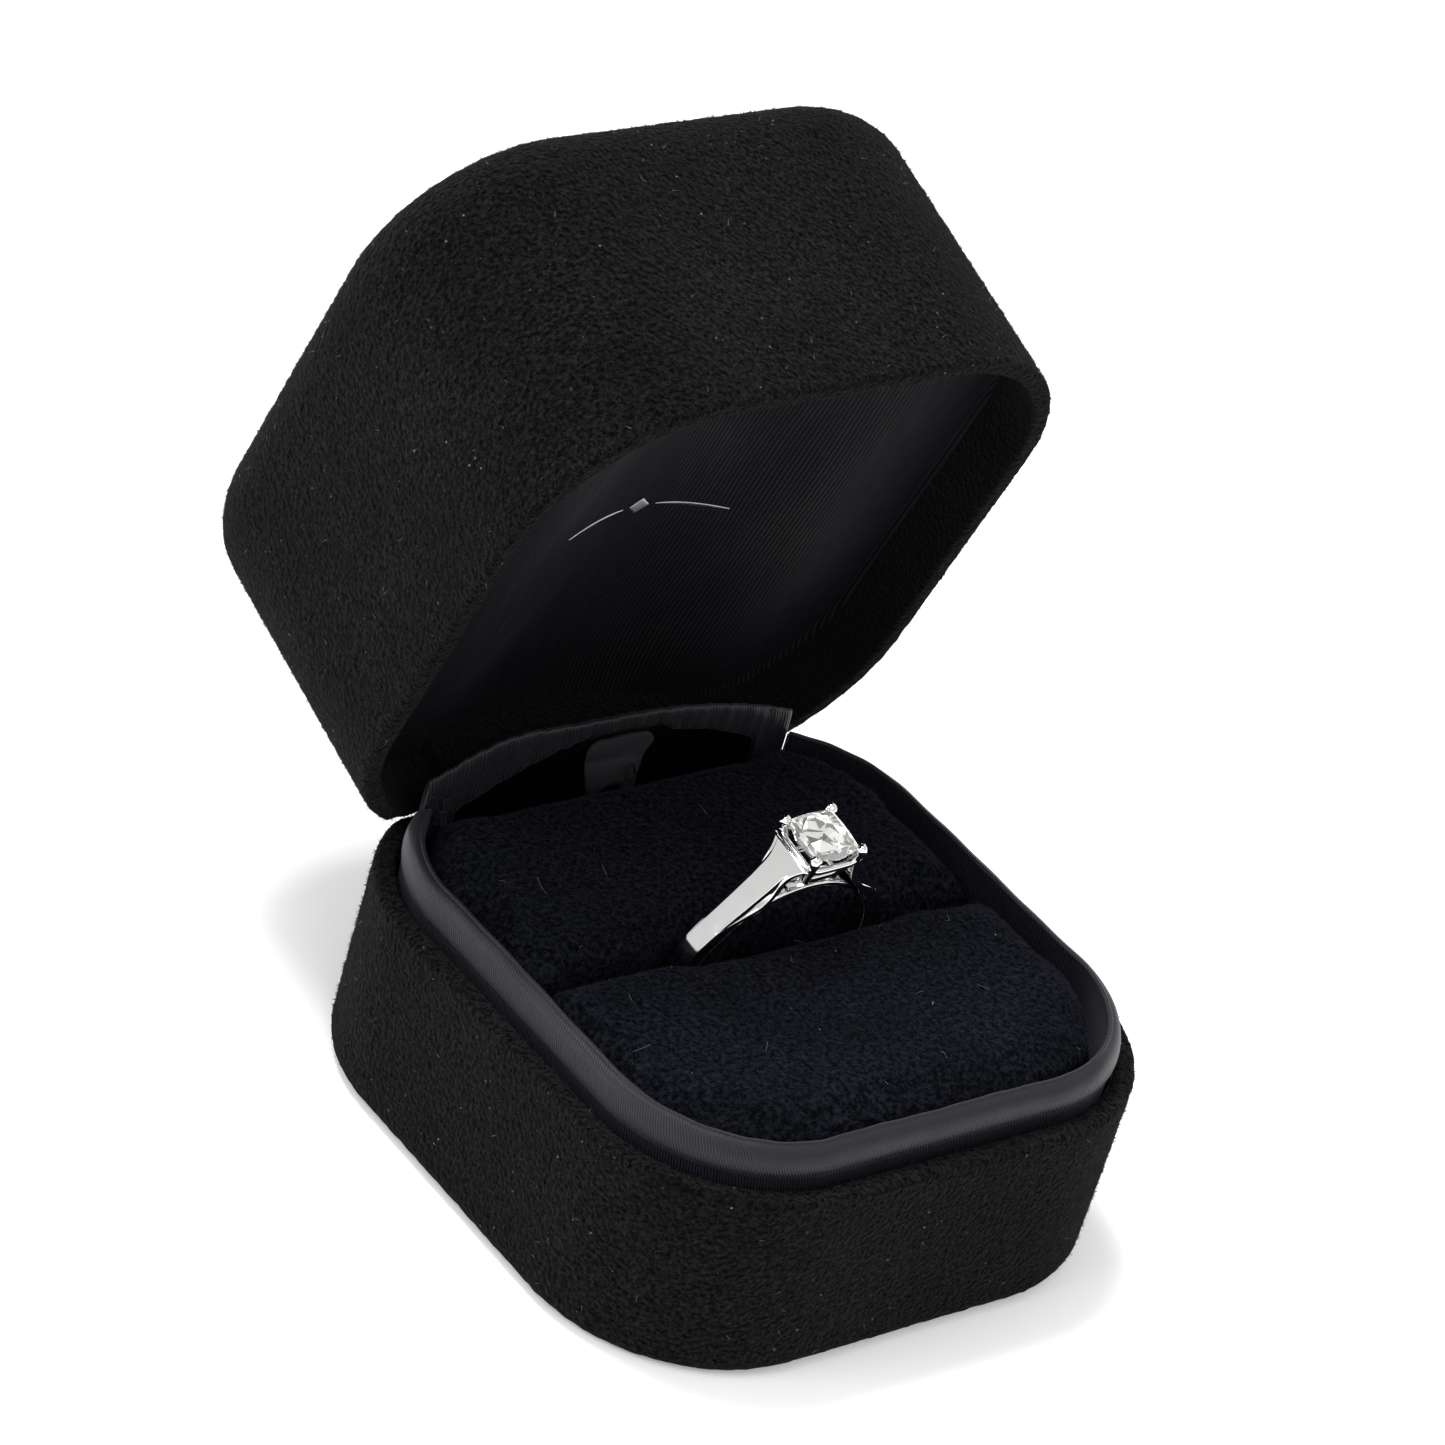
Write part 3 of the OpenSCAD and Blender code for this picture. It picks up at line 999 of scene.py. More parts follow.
@dataclass
class Base:
    """The suede covered base."""

    box: BoxSizes
    finishes: Finishes
    columns: int = 420
    cloth: float = 0.5
    rim_round: float = 0.55
    turned: float = 1.45
    leaf_half: float = 11.3
    leaf_drop: float = 1.85
    pad_inset: float = 4.1

    def cover(self) -> bpy.types.Object:
        """Builds the suede wrapped round the base and turned in at the rim.

        Returns:
            The cover.
        """
        b, cloth, bend, turned = self.box, self.cloth, self.rim_round, self.turned
        top, foot = b.base_h, b.foot
        profile = [*line((4.0, cloth), (4.0, 0.0), 2), *line((4.0, 0.0), (foot, 0.0), 5)]
        profile += arc((foot, foot), foot, -90, -180, 9)
        profile += line((0.0, foot), (0.0, top - bend), 34)[1:]
        profile += arc((bend, top - bend), bend, 180, 90, 6)
        profile += line((bend, top), (turned, top), 3)[1:]
        profile += arc((turned, top - cloth / 2), cloth / 2, 90, 0, 4)
        profile += [(turned + cloth / 2, top - cloth), (cloth, top - cloth), (cloth, foot)]
        profile += [(0.9, 0.9), (foot, cloth)]
        rows = np.array(profile)

        def heights(x: Array, y: Array, r: Array) -> Array:
            """Lowers the wall's top along the slanting back edge and under the hinge's leaf.

            Args:
                x: places across the box.
                y: places along the box.
                r: row numbers.

            Returns:
                The heights.
            """
            z = rows[r, 1]
            limit = np.minimum(b.base_h, b.mitre(y, -1))
            leaf = (np.abs(x) < self.leaf_half) & (y > 20) & (y < 25.0)
            limit = np.where(leaf, np.minimum(limit, b.hinge_z - self.leaf_drop), limit)
            return z - (top - limit) * np.clip((z - foot) / (top - foot), 0, 1)

        piece = swept("base_suede", b, rows, heights, self.columns)
        roughen(piece, 0.7 * MM, 0.07 * MM, 3.1)
        dress(piece, self.finishes.suede)
        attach(piece, "base")
        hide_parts("base_cover")
        return piece

    def nap(self, cover: bpy.types.Object) -> list[bpy.types.Object]:
        """Stands the suede's loose fibres on the cover.

        Args:
            cover: the base's suede.

        Returns:
            The nap and the lint.
        """

        def outside(point: Array, normal: Array) -> Array:
            """Keeps roots on the walls and the rim."""
            return ((normal[:, 2] > -0.3) & (point[:, 2] > 0.6 * MM)).astype(float)

        piece = sprout("base_nap", cover, 30000, 0.36 * MM, 0.08 * MM, 0.8, 11, outside)
        lint = sprout("base_lint", cover, 260, 0.42 * MM, 0.05 * MM, 1.6, 14, outside)
        for made, finish in ((piece, self.finishes.nap), (lint, self.finishes.lint)):
            dress(made, finish)
            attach(made, "base")
        return [piece, lint]

    def underside(self) -> bpy.types.Object:
        """Builds the felt pad let into the underside.

        Returns:
            The pad.
        """
        b, edge, back = self.box, self.pad_inset, 0.45
        insets = [*np.linspace(edge, 14.6, 34), *np.linspace(15.2, b.middle, 26)]
        rows = np.array([(edge, back), *[(i, 0.07) for i in insets], (b.middle, back), (12.0, back)])

        def heights(x: Array, y: Array, r: Array) -> Array:
            """Keeps the profile's heights."""
            return rows[r, 1]

        piece = swept("base_underside_felt", b, rows, heights, 240)
        roughen(piece, 0.6 * MM, 0.05 * MM, 5.5)
        dress(piece, self.finishes.felt)
        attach(piece, "base")
        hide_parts("base_bottom_pad")
        return piece

    def build(self) -> list[bpy.types.Object]:
        """Builds every piece of the base's outside."""
        cover = self.cover()
        return [cover, *self.nap(cover), self.underside()]


@dataclass
class Collar:
    """The satin wrapped collar that stands out of the base."""

    box: BoxSizes
    finishes: Finishes
    columns: int = 460
    crest: float = 0.19
    roll: float = 1.1
    roll_over: float = 1.8
    roll_under: float = 1.2
    tuck: float = 0.25
    outer_foot: float = 12.4
    inner_foot: float = 14.0

    def build(self) -> list[bpy.types.Object]:
        """Builds the satin, rolled over the collar's edge with a thin folded crest.

        Returns:
            The satin.
        """
        b, crest = self.box, self.crest
        top, outer, inner = b.collar_top, b.collar_out, b.collar_in
        wall, low = outer + self.tuck, top - 1.95
        profile = line((wall, self.outer_foot), (wall, top - 2.75), 10)
        for angle in np.radians(np.linspace(219, 96, 20)):
            tall = self.roll_over if angle < math.pi else self.roll_under
            profile.append((outer + self.roll * (1 + math.cos(angle)), low + tall * math.sin(angle)))
        profile += arc((inner - crest, top - crest), crest, 165, 0, 9)
        profile += line((inner, top - crest), (inner, self.inner_foot), 8)[1:]
        profile += [(inner, self.inner_foot), (inner - 0.28, self.inner_foot)]
        profile += [(inner - 0.33, top - 0.85), (outer + 0.4, top - 1.5)]
        profile += [(outer + 0.33, self.outer_foot)]
        rows = np.array(profile)
        half = b.half_w - b.corner
        swing = math.asin((b.arch_half + 0.2 - half) / (b.corner - outer - 0.7))
        start = half + swing * b.corner

        def heights(x: Array, y: Array, r: Array) -> Array:
            """Keeps the profile's heights, with the crest a little uneven."""
            wave = 0.05 * np.sin(x * 0.55 + y * 0.31) + 0.03 * np.sin(x * 1.7 - y * 1.1)
            return rows[r, 1] + np.where(rows[r, 1] > top - 1.2, wave, 0)

        span = (start, b.around - start)
        piece = swept("collar_satin_wrap", b, rows, heights, self.columns, span)
        dress(piece, self.finishes.satin)
        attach(piece, "base")
        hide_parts("collar_satin")
        return [piece]


@dataclass
class Arch:
    """The satin arch and tongue across the hinge."""

    box: BoxSizes
    finishes: Finishes
    rise: float = 8.2
    thick: float = 0.7
    upper_sag: float = 3.0
    under_sag: float = 3.9
    waist: float = 1.3

    def edges(self, x: Array) -> tuple[Array, Array]:
        """Gives the band's upper and lower edges, and its legs at both ends.

        Args:
            x: places across the box.

        Returns:
            Heights of the upper and the lower edge.
        """
        b, half = self.box, self.box.arch_half
        top = b.base_h + self.rise

        def fall(sag: float) -> Array:
            """How far an arc of that sag has fallen at x."""
            radius = (half * half + sag * sag) / (2 * sag)
            return radius - np.sqrt(np.maximum(radius * radius - x * x, 0))

        upper = top - fall(self.upper_sag) + 1.15 * np.exp(-((x + 11.5) / 5.5) ** 2)
        under = top - self.waist - fall(self.under_sag)
        for past, over, drop in ((x - 4.2, 1.6, 0.8), (x - 9, 6, 0.5), (-3.4 - x, 1.6, 0.5),
                                 (-6 - x, 9, 1.9)):
            under = under - drop * np.clip(past / over, 0, 1)
        leg = np.clip((np.abs(x) - half * 0.85 + 0.7) / 0.9, 0, 1)
        leg = leg * leg * (3 - 2 * leg)
        return upper, under * (1 - leg) + (b.base_h - 2.2) * leg

    def band(self) -> bpy.types.Object:
        """Builds the arched satin band.

        Returns:
            The band.
        """
        b, half, columns, steps = self.box, self.box.arch_half, 150, 28
        x = np.linspace(-half, half, columns)
        upper, lower = self.edges(x)
        turn = np.linspace(0, 2 * np.pi, steps + 1)
        c, s = np.cos(turn), np.sin(turn)
        across = np.sign(c) * np.abs(c) ** 0.6
        along = np.sign(s) * np.abs(s) ** 0.45

        def place(i: Array, j: Array) -> Array:
            """Gives the points of the band, its ends drawn to a point.

            Args:
                i: column numbers.
                j: step numbers round the band.

            Returns:
                The points.
            """
            k = np.clip(i - 1, 0, columns - 1)
            grow = np.where((i == 0) | (i == columns + 1), 0.0, 1.0)
            mid, tall = (upper[k] + lower[k]) / 2, (upper[k] - lower[k]) / 2
            z = mid + tall * along[j] * grow
            pull = 0.08 * np.sin(x[k] * 2.1 + z * 0.3) + 0.09 * np.sin(x[k] * 4.7 - z * 0.4)
            y = b.arch_y + self.thick / 2 + (across[j] * self.thick * 0.42 + pull * 0.5) * grow
            return np.stack([x[k], y, z], 1) * MM

        piece = wrap_grid("arch_satin_band", columns + 1, steps, place, (2 * half * MM, 12 * MM))
        dress(piece, self.finishes.arch_satin)
        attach(piece, "base")
        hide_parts("hinge_band")
        return piece

    def tongue(self) -> bpy.types.Object:
        """Builds the satin covered tongue under the arch.

        Returns:
            The tongue.
        """
        b = self.box
        z = np.linspace(12.3, b.base_h + 6.2, 40)
        patch = np.clip((z - b.base_h - 1.3) / 0.35, 0, 1)
        y = b.arch_y + 0.62 - 0.34 * patch + 0.12 * np.sin(z * 1.9)
        path = np.stack([2.9 - 2.5 * patch, y, z], 1) * MM
        width = 1.4 + (3.4 + 1.8 * np.clip((z - b.base_h - 1.6) / 3.6, 0, 1)) * patch
        width[-3:] = (6.3, 5.8, 4.6)
        piece = bar("arch_tongue", path, width * MM, np.full(40, 0.34 * MM), (1, 0, 0),
                    edge=5.0, steps=36)
        roughen(piece, 2.2 * MM, 0.05 * MM, 7.7)
        dress(piece, self.finishes.arch_satin)
        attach(piece, "base")
        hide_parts("hinge_tongue")
        return piece

    def shade_in_windows(self) -> bpy.types.Object:
        """Builds the near-black sheet across the windows in front of the hinge: painted shade for
        the deep shadow there, which also closes the see-through gap.

        Returns:
            The cloth.
        """
        b, half = self.box, self.box.arch_half - 0.35
        columns = 90
        x = np.linspace(-half, half, columns)
        y = np.full(columns, b.arch_y + self.thick + 0.16)
        path = np.stack([x, y, np.full(columns, b.base_h + 0.4)], 1)
        tall = np.minimum(8.6, 8.6 - 2.6 * (np.abs(x) / half) ** 4)
        piece = bar("arch_window_painted_shade", path * MM, tall * MM, np.full(columns, 0.14 * MM),
                    (0, 0, 1), edge=8.0, steps=24)
        # painted shade: the sheet is near black to stand in for the shadow behind the arch
        dress(piece, self.finishes.shade_sheet)
        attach(piece, "base")
        return piece

    def threads(self) -> bpy.types.Object:
        """Builds the frayed threads at the left end of the arch.

        Returns:
            The threads.
        """
        rng = np.random.default_rng(5)
        strands = []
        for _ in range(16):
            start = np.array([-17.6 + rng.uniform(-0.5, 1.6), 21.0, 19.0 + rng.uniform(-0.6, 1.6)])
            t = np.linspace(0, 1, 9)[:, None]
            drift = rng.uniform((-1.6, -1.6, -1.4), (0.9, -0.2, 1.5))
            curl = rng.normal(0, 0.45, 3)
            path = start + drift * t + curl * np.sin(t * math.pi)
            path[:, 1] = np.minimum(path[:, 1], 21.1)
            thick = np.full(9, rng.uniform(0.05, 0.09)) * MM
            strands.append(bar("strand", path * MM, thick, thick, (0.3, 0.5, 0.8), edge=2.0,
                               steps=5))
        piece = joined("arch_loose_threads", strands)
        dress(piece, self.finishes.arch_satin)
        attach(piece, "base")
        return piece

    def build(self) -> list[bpy.types.Object]:
        """Builds every piece of the arch."""
        return [self.band(), self.tongue(), self.shade_in_windows(), self.threads()]


@dataclass
class Cushion:
    """The two velvet pads and the slot between them."""

    box: BoxSizes
    finishes: Finishes
    enlarge: float = 20.0
    voxel: float = 0.75
    swell: float = 0.9
    frames: int = 16
    crown: float = 20.1
    ring_half: float = 9.6
    slot_open: float = 1.22
    slot_shut: float = 0.3
    slot_deep: float = 1.5

    def pad(self, face: Face) -> bpy.types.Object:
        """Builds one pad: blown up as cloth, then drawn to its slot and crowned.

        Args:
            face: front or back pad.

        Returns:
            The pad.
        """
        node = "cushion_front" if face is Face.FRONT else "cushion_back"
        bm = bmesh.new()
        bm.from_mesh(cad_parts[node].data)
        bmesh.ops.remove_doubles(bm, verts=bm.verts[:], dist=1e-6)
        bmesh.ops.transform(bm, matrix=Matrix.Scale(self.enlarge, 4), verts=bm.verts[:])
        piece = to_object(bm, "pad_front" if face is Face.FRONT else "pad_back")
        self.apply(piece, "REMESH", mode="VOXEL", voxel_size=self.voxel * MM * self.enlarge)
        self.inflate(piece)
        transform(piece, Matrix.Scale(1 / self.enlarge, 4))
        self.shape(piece, face)
        self.apply(piece, "SUBSURF", levels=1, render_levels=1)
        roughen(piece, 1.1 * MM, 0.05 * MM, 1.3 + face.value)
        piece.data.shade_smooth()
        dress(piece, self.finishes.velvet)
        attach(piece, "base")
        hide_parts(node)
        return piece

    def apply(self, piece: bpy.types.Object, kind: str, **values: object) -> None:
        """Adds a modifier, sets it and applies it to the mesh.

        Args:
            piece: the piece.
            kind: type of the modifier.
            values: its settings.
        """
        modifier = piece.modifiers.new(kind.lower(), kind)
        for key, value in values.items():
            setattr(modifier, key, value)
        self.settle(piece)

    def settle(self, piece: bpy.types.Object) -> None:
        """Makes the mesh what its modifiers show, and drops them.

        Args:
            piece: the piece.
        """
        shown = piece.evaluated_get(bpy.context.evaluated_depsgraph_get())
        mesh = bpy.data.meshes.new_from_object(shown)
        piece.modifiers.clear()
        old, piece.data = piece.data, mesh
        bpy.data.meshes.remove(old)

    def inflate(self, piece: bpy.types.Object) -> None:
        """Swells the pad with cloth under pressure, its underside held on the card.

        Args:
            piece: the pad.
        """
        low = min(v.co.z for v in piece.data.vertices)
        start = np.array([v.co for v in piece.data.vertices])
        held = piece.vertex_groups.new(name="held")
        hold = [v.index for v in piece.data.vertices
                if v.co.z < low + 2.0 * MM * self.enlarge]
        held.add(hold, 1.0, "REPLACE")
        cloth = piece.modifiers.new("cloth", "CLOTH")
        cloth.settings.vertex_group_mass = "held"
        cloth.settings.use_pressure = True
        cloth.settings.uniform_pressure_force = 4.0
        cloth.settings.effector_weights.gravity = 0.0
        cloth.settings.quality = 5
        cloth.point_cache.frame_start = 1
        cloth.point_cache.frame_end = self.frames
        scene = bpy.context.scene
        for step in range(1, self.frames + 1):
            scene.frame_set(step)
        self.settle(piece)
        scene.frame_set(1)
        now = np.array([v.co for v in piece.data.vertices])
        move = now - start
        far = np.linalg.norm(move, axis=1)
        cap = self.swell * MM * self.enlarge
        share = np.minimum(1.0, cap / np.maximum(far, 1e-12))
        piece.data.vertices.foreach_set("co", (start + move * share[:, None]).ravel())
        piece.data.update()

    def mouth(self, x: Array, z: Array) -> Array:
        """Half width of the slot: open round the ring, nearly shut beside it, slack low down.

        Args:
            x: places across the box.
            z: heights.

        Returns:
            The half widths.
        """
        beside = np.clip((np.abs(x - self.box.ring_x) - self.ring_half) / 2.2, 0, 1)
        gap = self.slot_open * (1 - beside) + self.slot_shut * beside
        gap = gap + 0.25 * np.clip((x - 10.0) / 8.0, 0, 1)
        return self.slot_deep + (gap - self.slot_deep) * np.clip((z - 12.0) / 6.0, 0, 1)

    def lift(self, x: Array, y: Array, depth: Array, gap: Array, face: Face) -> Array:
        """Rise of a pad's top: a crown near the slot that falls off at its lip and far edge.

        Args:
            x: places across the box.
            y: places along the box.
            depth: distances from the slot's middle.
            gap: half widths of the slot.
            face: which pad.

        Returns:
            The rises.
        """
        b = self.box
        side = np.clip(1 - (np.abs(x) / (b.half_w - b.collar_in)) ** 4, 0, 1)
        near = np.exp(-np.maximum(depth - 1.2, 0) / 4.5)
        rise = 0.15 + 0.55 * side * near * (1.25 if face is Face.FRONT else 0.55)
        rise = rise - 1.0 * near * np.clip((x - 9.0) / 9.0, 0, 1)
        rise = rise - 0.75 * np.exp(-np.maximum(depth - gap, 0) / 0.75)
        return rise - 0.35 * np.clip((np.abs(y) - 15) / 7, 0, 1)

    def shape(self, piece: bpy.types.Object, face: Face) -> None:
        """Keeps the pad in its space, crowns its top and closes its slot round the ring.

        Args:
            piece: the swollen pad.
            face: which pad it is.
        """
        b = self.box
        x, y, z = (np.array([v.co for v in piece.data.vertices]) / MM).T
        lean = math.radians(b.lean_deg)
        off = (y - b.ring_y) * math.cos(lean) + (z - b.base_h - b.ring_up) * math.sin(lean)
        depth = off * face.value
        gap = self.mouth(x, z)
        near = np.exp(-np.maximum(depth - self.slot_deep, 0) / 3.5)
        moved = np.maximum(depth + (gap - self.slot_deep) * near, gap)
        y = y + (moved - depth) * face.value
        z = z + self.lift(x, y, moved, gap, face) * np.clip((z - 14.0) / 5.5, 0, 1)
        edge = b.corner - b.collar_in - b.from_core(x, y)
        z = np.minimum(z, self.crown + 0.35 - 0.9 * np.clip(1 - edge / 2.4, 0, 1) ** 2)
        x, y = self.held(x, y)
        piece.data.vertices.foreach_set("co", (np.stack([x, y, z], 1) * MM).ravel())
        piece.data.update()

    def held(self, x: Array, y: Array) -> tuple[Array, Array]:
        """Draws points that swelled past the collar or the arch back inside.

        Args:
            x: places across the box.
            y: places along the box.

        Returns:
            The places, held.
        """
        b = self.box
        a, c = b.half_w - b.corner, b.half_d - b.corner
        px, py = np.clip(x, -a, a), np.clip(y, -c, c)
        dx, dy = x - px, y - py
        far = np.hypot(dx, dy)
        room = b.corner - b.collar_in - 0.08
        share = np.where(far > room, room / np.maximum(far, 1e-9), 1.0)
        return px + dx * share, np.minimum(py + dy * share, b.arch_y - 0.12)

    def pile(self, pad: bpy.types.Object, seed: int) -> bpy.types.Object:
        """Stands the velvet's pile on a pad.

        Args:
            pad: the pad.
            seed: seed of the fibres.

        Returns:
            The pile.
        """

        def upper(point: Array, normal: Array) -> Array:
            """Keeps roots on the top and in the mouth of the slot."""
            return ((normal[:, 2] > -0.2) & (point[:, 2] > 17.5 * MM)).astype(float)

        piece = sprout(pad.name + "_pile", pad, 24000, 0.22 * MM, 0.045 * MM, 0.8, seed, upper)
        dress(piece, self.finishes.pile)
        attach(piece, "base")
        return piece

    def lint(self, pads: Sequence[bpy.types.Object]) -> bpy.types.Object:
        """Scatters a few pale hairs and crumbs on the pads.

        Args:
            pads: both pads.

        Returns:
            The lint.
        """
        rng = np.random.default_rng(21)
        hairs = []
        for k in range(46):
            pad = pads[0] if k % 3 else pads[1]
            x, y = rng.uniform(-19, 19), rng.uniform(-20, 18)
            hit, where, _, _ = pad.ray_cast(Vector((x, y, 60)) * MM, Vector((0, 0, -1)))
            if not hit or where.z < 17 * MM:
                continue
            t = np.linspace(0, 1, 7)[:, None]
            long = rng.uniform(0.25, 1.1) if k > 8 else rng.uniform(0.1, 0.2)
            along = rng.normal(0, 1, 3)
            along[2] = abs(along[2]) * 0.15
            bend = rng.normal(0, 0.3, 3)
            bend[2] = abs(bend[2]) * 0.4
            path = np.array(where) / MM + long * (along * t + bend * np.sin(t * 3.1)) + (0, 0, 0.06)
            thick = np.full(7, 0.02 if k > 8 else 0.09) * MM
            hairs.append(bar("hair", path * MM, thick, thick, (0.2, 0.9, 0.3), edge=2.0, steps=4))
        piece = joined("cushion_lint", hairs)
        dress(piece, self.finishes.lint)
        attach(piece, "base")
        return piece

    def build(self) -> list[bpy.types.Object]:
        """Builds both pads, their pile and the lint on them.

        Returns:
            The pieces.
        """
        pads = [self.pad(Face.FRONT), self.pad(Face.BACK)]
        piles = [self.pile(pad, 31 + k) for k, pad in enumerate(pads)]
        bpy.context.view_layer.update()
        return [*pads, *piles, self.lint(pads)]


@dataclass
class Lid:
    """The suede covered lid with its satin liner."""

    box: BoxSizes
    finishes: Finishes
    columns: int = 420
    edge_depth: float = 5.6
    dish: float = 4.6
    trough: float = 18.4

    def cover(self) -> bpy.types.Object:
        """Builds the suede wrapped round the lid and turned in at the rim.

        Returns:
            The cover.
        """
        b = self.box
        over, rim, top, r = b.lid_over, b.rim_z, b.lid_top, b.lid_round
        deep = rim + 17.5
        profile = line((-over, rim + 0.45), (-over, top - r), 52)
        profile += arc((r - over, top - r), r, 180, 90, 14)
        profile += line((r - over, top), (24.6, top), 30)[1:] + [(b.middle, top)]
        profile += [(b.middle, top - 0.5), (18.0, top - 0.5), (r - over, top - 0.5)]
        profile += arc((r - over, top - r), r - 0.5, 90, 180, 5)[1:]
        profile += [(0.5 - over, rim + 6), (0.5 - over, rim + 0.5), (b.lid_in - 0.4, rim + 0.5)]
        profile += [(b.lid_in - 0.4, deep - 3), (b.lid_in - 0.4, deep)]
        profile += line((b.lid_in, deep), (b.lid_in, rim + 0.4), 26)
        profile += arc((b.lid_in - 0.4, rim + 0.4), 0.4, 0, -90, 5)
        profile += arc((0.45 - over, rim + 0.45), 0.45, -90, -180, 6)[:-1]
        rows = np.array(profile)

        def heights(x: Array, y: Array, r_: Array) -> Array:
            """Raises the rim along the slanting back edge.

            Args:
                x: places across the box.
                y: places along the box.
                r_: row numbers.

            Returns:
                The heights.
            """
            z = rows[r_, 1]
            low = np.maximum(rim, b.mitre(y, 1) * (y > b.hinge_y))
            share = np.clip((rim + 14 - z) / 14, 0, 1)
            return z + (low - rim) * share

        piece = swept("lid_suede", b, rows, heights, self.columns)
        self.cover_leaf(piece)
        self.mark_inside(piece)
        roughen(piece, 0.7 * MM, 0.07 * MM, 9.4)
        transform(piece, b.opened)
        dress(piece, self.finishes.suede)
        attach(piece, "lid")
        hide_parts("lid_cover", "lid_lining")
        return piece

    def cover_leaf(self, piece: bpy.types.Object) -> None:
        """Lets the turned-in suede lie over the hinge's leaf.

        Args:
            piece: the cover, shut.
        """
        b = self.box
        inner = b.half_d - b.lid_in
        for vert in piece.data.vertices:
            x, y, z = vert.co / MM
            if abs(y - inner) < 0.06 and z > b.hinge_z + 1.2:
                wide = min(1.0, max(0.0, (16.0 - abs(x)) / 4.6))
                high = min(1.0, max(0.0, (z - b.hinge_z - 0.9) / 0.6))
                low = min(1.0, max(0.0, (b.hinge_z + 12.0 - z) / 4.5))
                soft = wide * wide * (3 - 2 * wide) * low * low * (3 - 2 * low)
                vert.co.y -= 0.95 * MM * soft * high
        piece.data.update()

    def mark_inside(self, piece: bpy.types.Object) -> None:
        """Marks the suede on the inner walls, which is shorter and blacker.

        Args:
            piece: the cover, shut.
        """
        b = self.box
        co = np.array([v.co for v in piece.data.vertices]) / MM
        deep = np.clip((b.corner - b.lid_in + 0.35 - b.from_core(co[:, 0], co[:, 1])) / 0.2, 0, 1)
        below = np.clip((b.rim_z + 19 - co[:, 2]) / 0.5, 0, 1)
        mark = piece.data.attributes.new("turned_in", "FLOAT", "POINT")
        mark.data.foreach_set("value", deep * below)

    def nap(self, cover: bpy.types.Object) -> list[bpy.types.Object]:
        """Stands the suede's loose fibres on the lid's outside and rim.

        Args:
            cover: the lid's suede.

        Returns:
            The nap and the lint.
        """
        b = self.box
        shut = b.opened.inverted()
        turn, move = np.array(shut.to_3x3()), np.array(shut.translation)

        def outside(point: Array, normal: Array) -> Array:
            """Keeps roots off what is inside the wall.

            Args:
                point: middles of the faces.
                normal: their normals.

            Returns:
                One for each face to keep, else zero.
            """
            p = (point @ turn.T + move) / MM
            n = normal @ turn.T
            d = b.from_core(p[:, 0], p[:, 1])
            wall = d > b.corner - 0.2
            roof = (p[:, 2] > b.lid_top - 5.6) & (n[:, 2] > -0.05)
            rim = (p[:, 2] < b.rim_z + 3) & (n[:, 2] < -0.2) & (d > b.corner - 0.85)
            return (wall | roof | rim).astype(float)

        piece = sprout("lid_nap", cover, 54000, 0.36 * MM, 0.08 * MM, 0.8, 12, outside)
        lint = sprout("lid_lint", cover, 520, 0.42 * MM, 0.05 * MM, 1.6, 15, outside)
        for made, finish in ((piece, self.finishes.nap), (lint, self.finishes.lint)):
            dress(made, finish)
            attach(made, "lid")
        return [piece, lint]

    def depth(self, x: Array, y: Array) -> Array:
        """Depth of the liner's face below the lid's rim, with the lid closed.

        Args:
            x: places across the box.
            y: places along the box.

        Returns:
            The depths in millimetres.
        """
        b = self.box
        wave = np.where(np.abs(x) < self.trough, 1 + np.cos(np.pi * x / self.trough), 0) / 2
        back = np.clip((y - 14) / 11, 0, 1)
        front = np.clip((-y - 17) / 8, 0, 1)
        mid = self.dish * wave * (1 - 0.45 * back * back - 0.25 * front * front)
        near = np.clip((b.from_core(x, y) - (b.corner - b.lid_in - 0.8)) / 0.8, 0, 1)
        sag = 0.12 * np.sin(x * 0.5 + 1) * np.sin(y * 0.3)
        return self.edge_depth + mid - 0.45 * near * near + sag

    def liner(self) -> bpy.types.Object:
        """Builds the satin panel, dished below the lid's rim.

        Returns:
            The panel.
        """
        b = self.box
        edge = b.lid_in - 0.3
        insets = np.concatenate([np.linspace(edge, 14.6, 44), np.linspace(15.2, b.middle, 26)])
        face = [(i, 0.0) for i in insets]
        back = [(i, 0.45) for i in (b.middle, 20.0, 12.0, 5.0, 2.6, edge)]
        rows = np.array(face + back)

        def heights(x: Array, y: Array, r: Array) -> Array:
            """Lays both faces of the panel at the dish's depth."""
            return b.rim_z + self.depth(x, y) + rows[r, 1]

        piece = swept("liner_panel", b, rows, heights, 300)
        mesh = piece.data
        layer = mesh.uv_layers["cloth"]
        for loop in mesh.loops:
            place = mesh.vertices[loop.vertex_index].co
            layer.uv[loop.index].vector = (place.x, place.y)
        transform(piece, b.opened)
        dress(piece, self.finishes.liner)
        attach(piece, "lid")
        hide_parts("liner_satin")
        self.flatten(piece)
        return piece

    def flatten(self, piece: bpy.types.Object) -> None:
        """Gives a liner piece its own copy of its mesh.

        Args:
            piece: the liner piece.
        """
        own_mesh(piece)

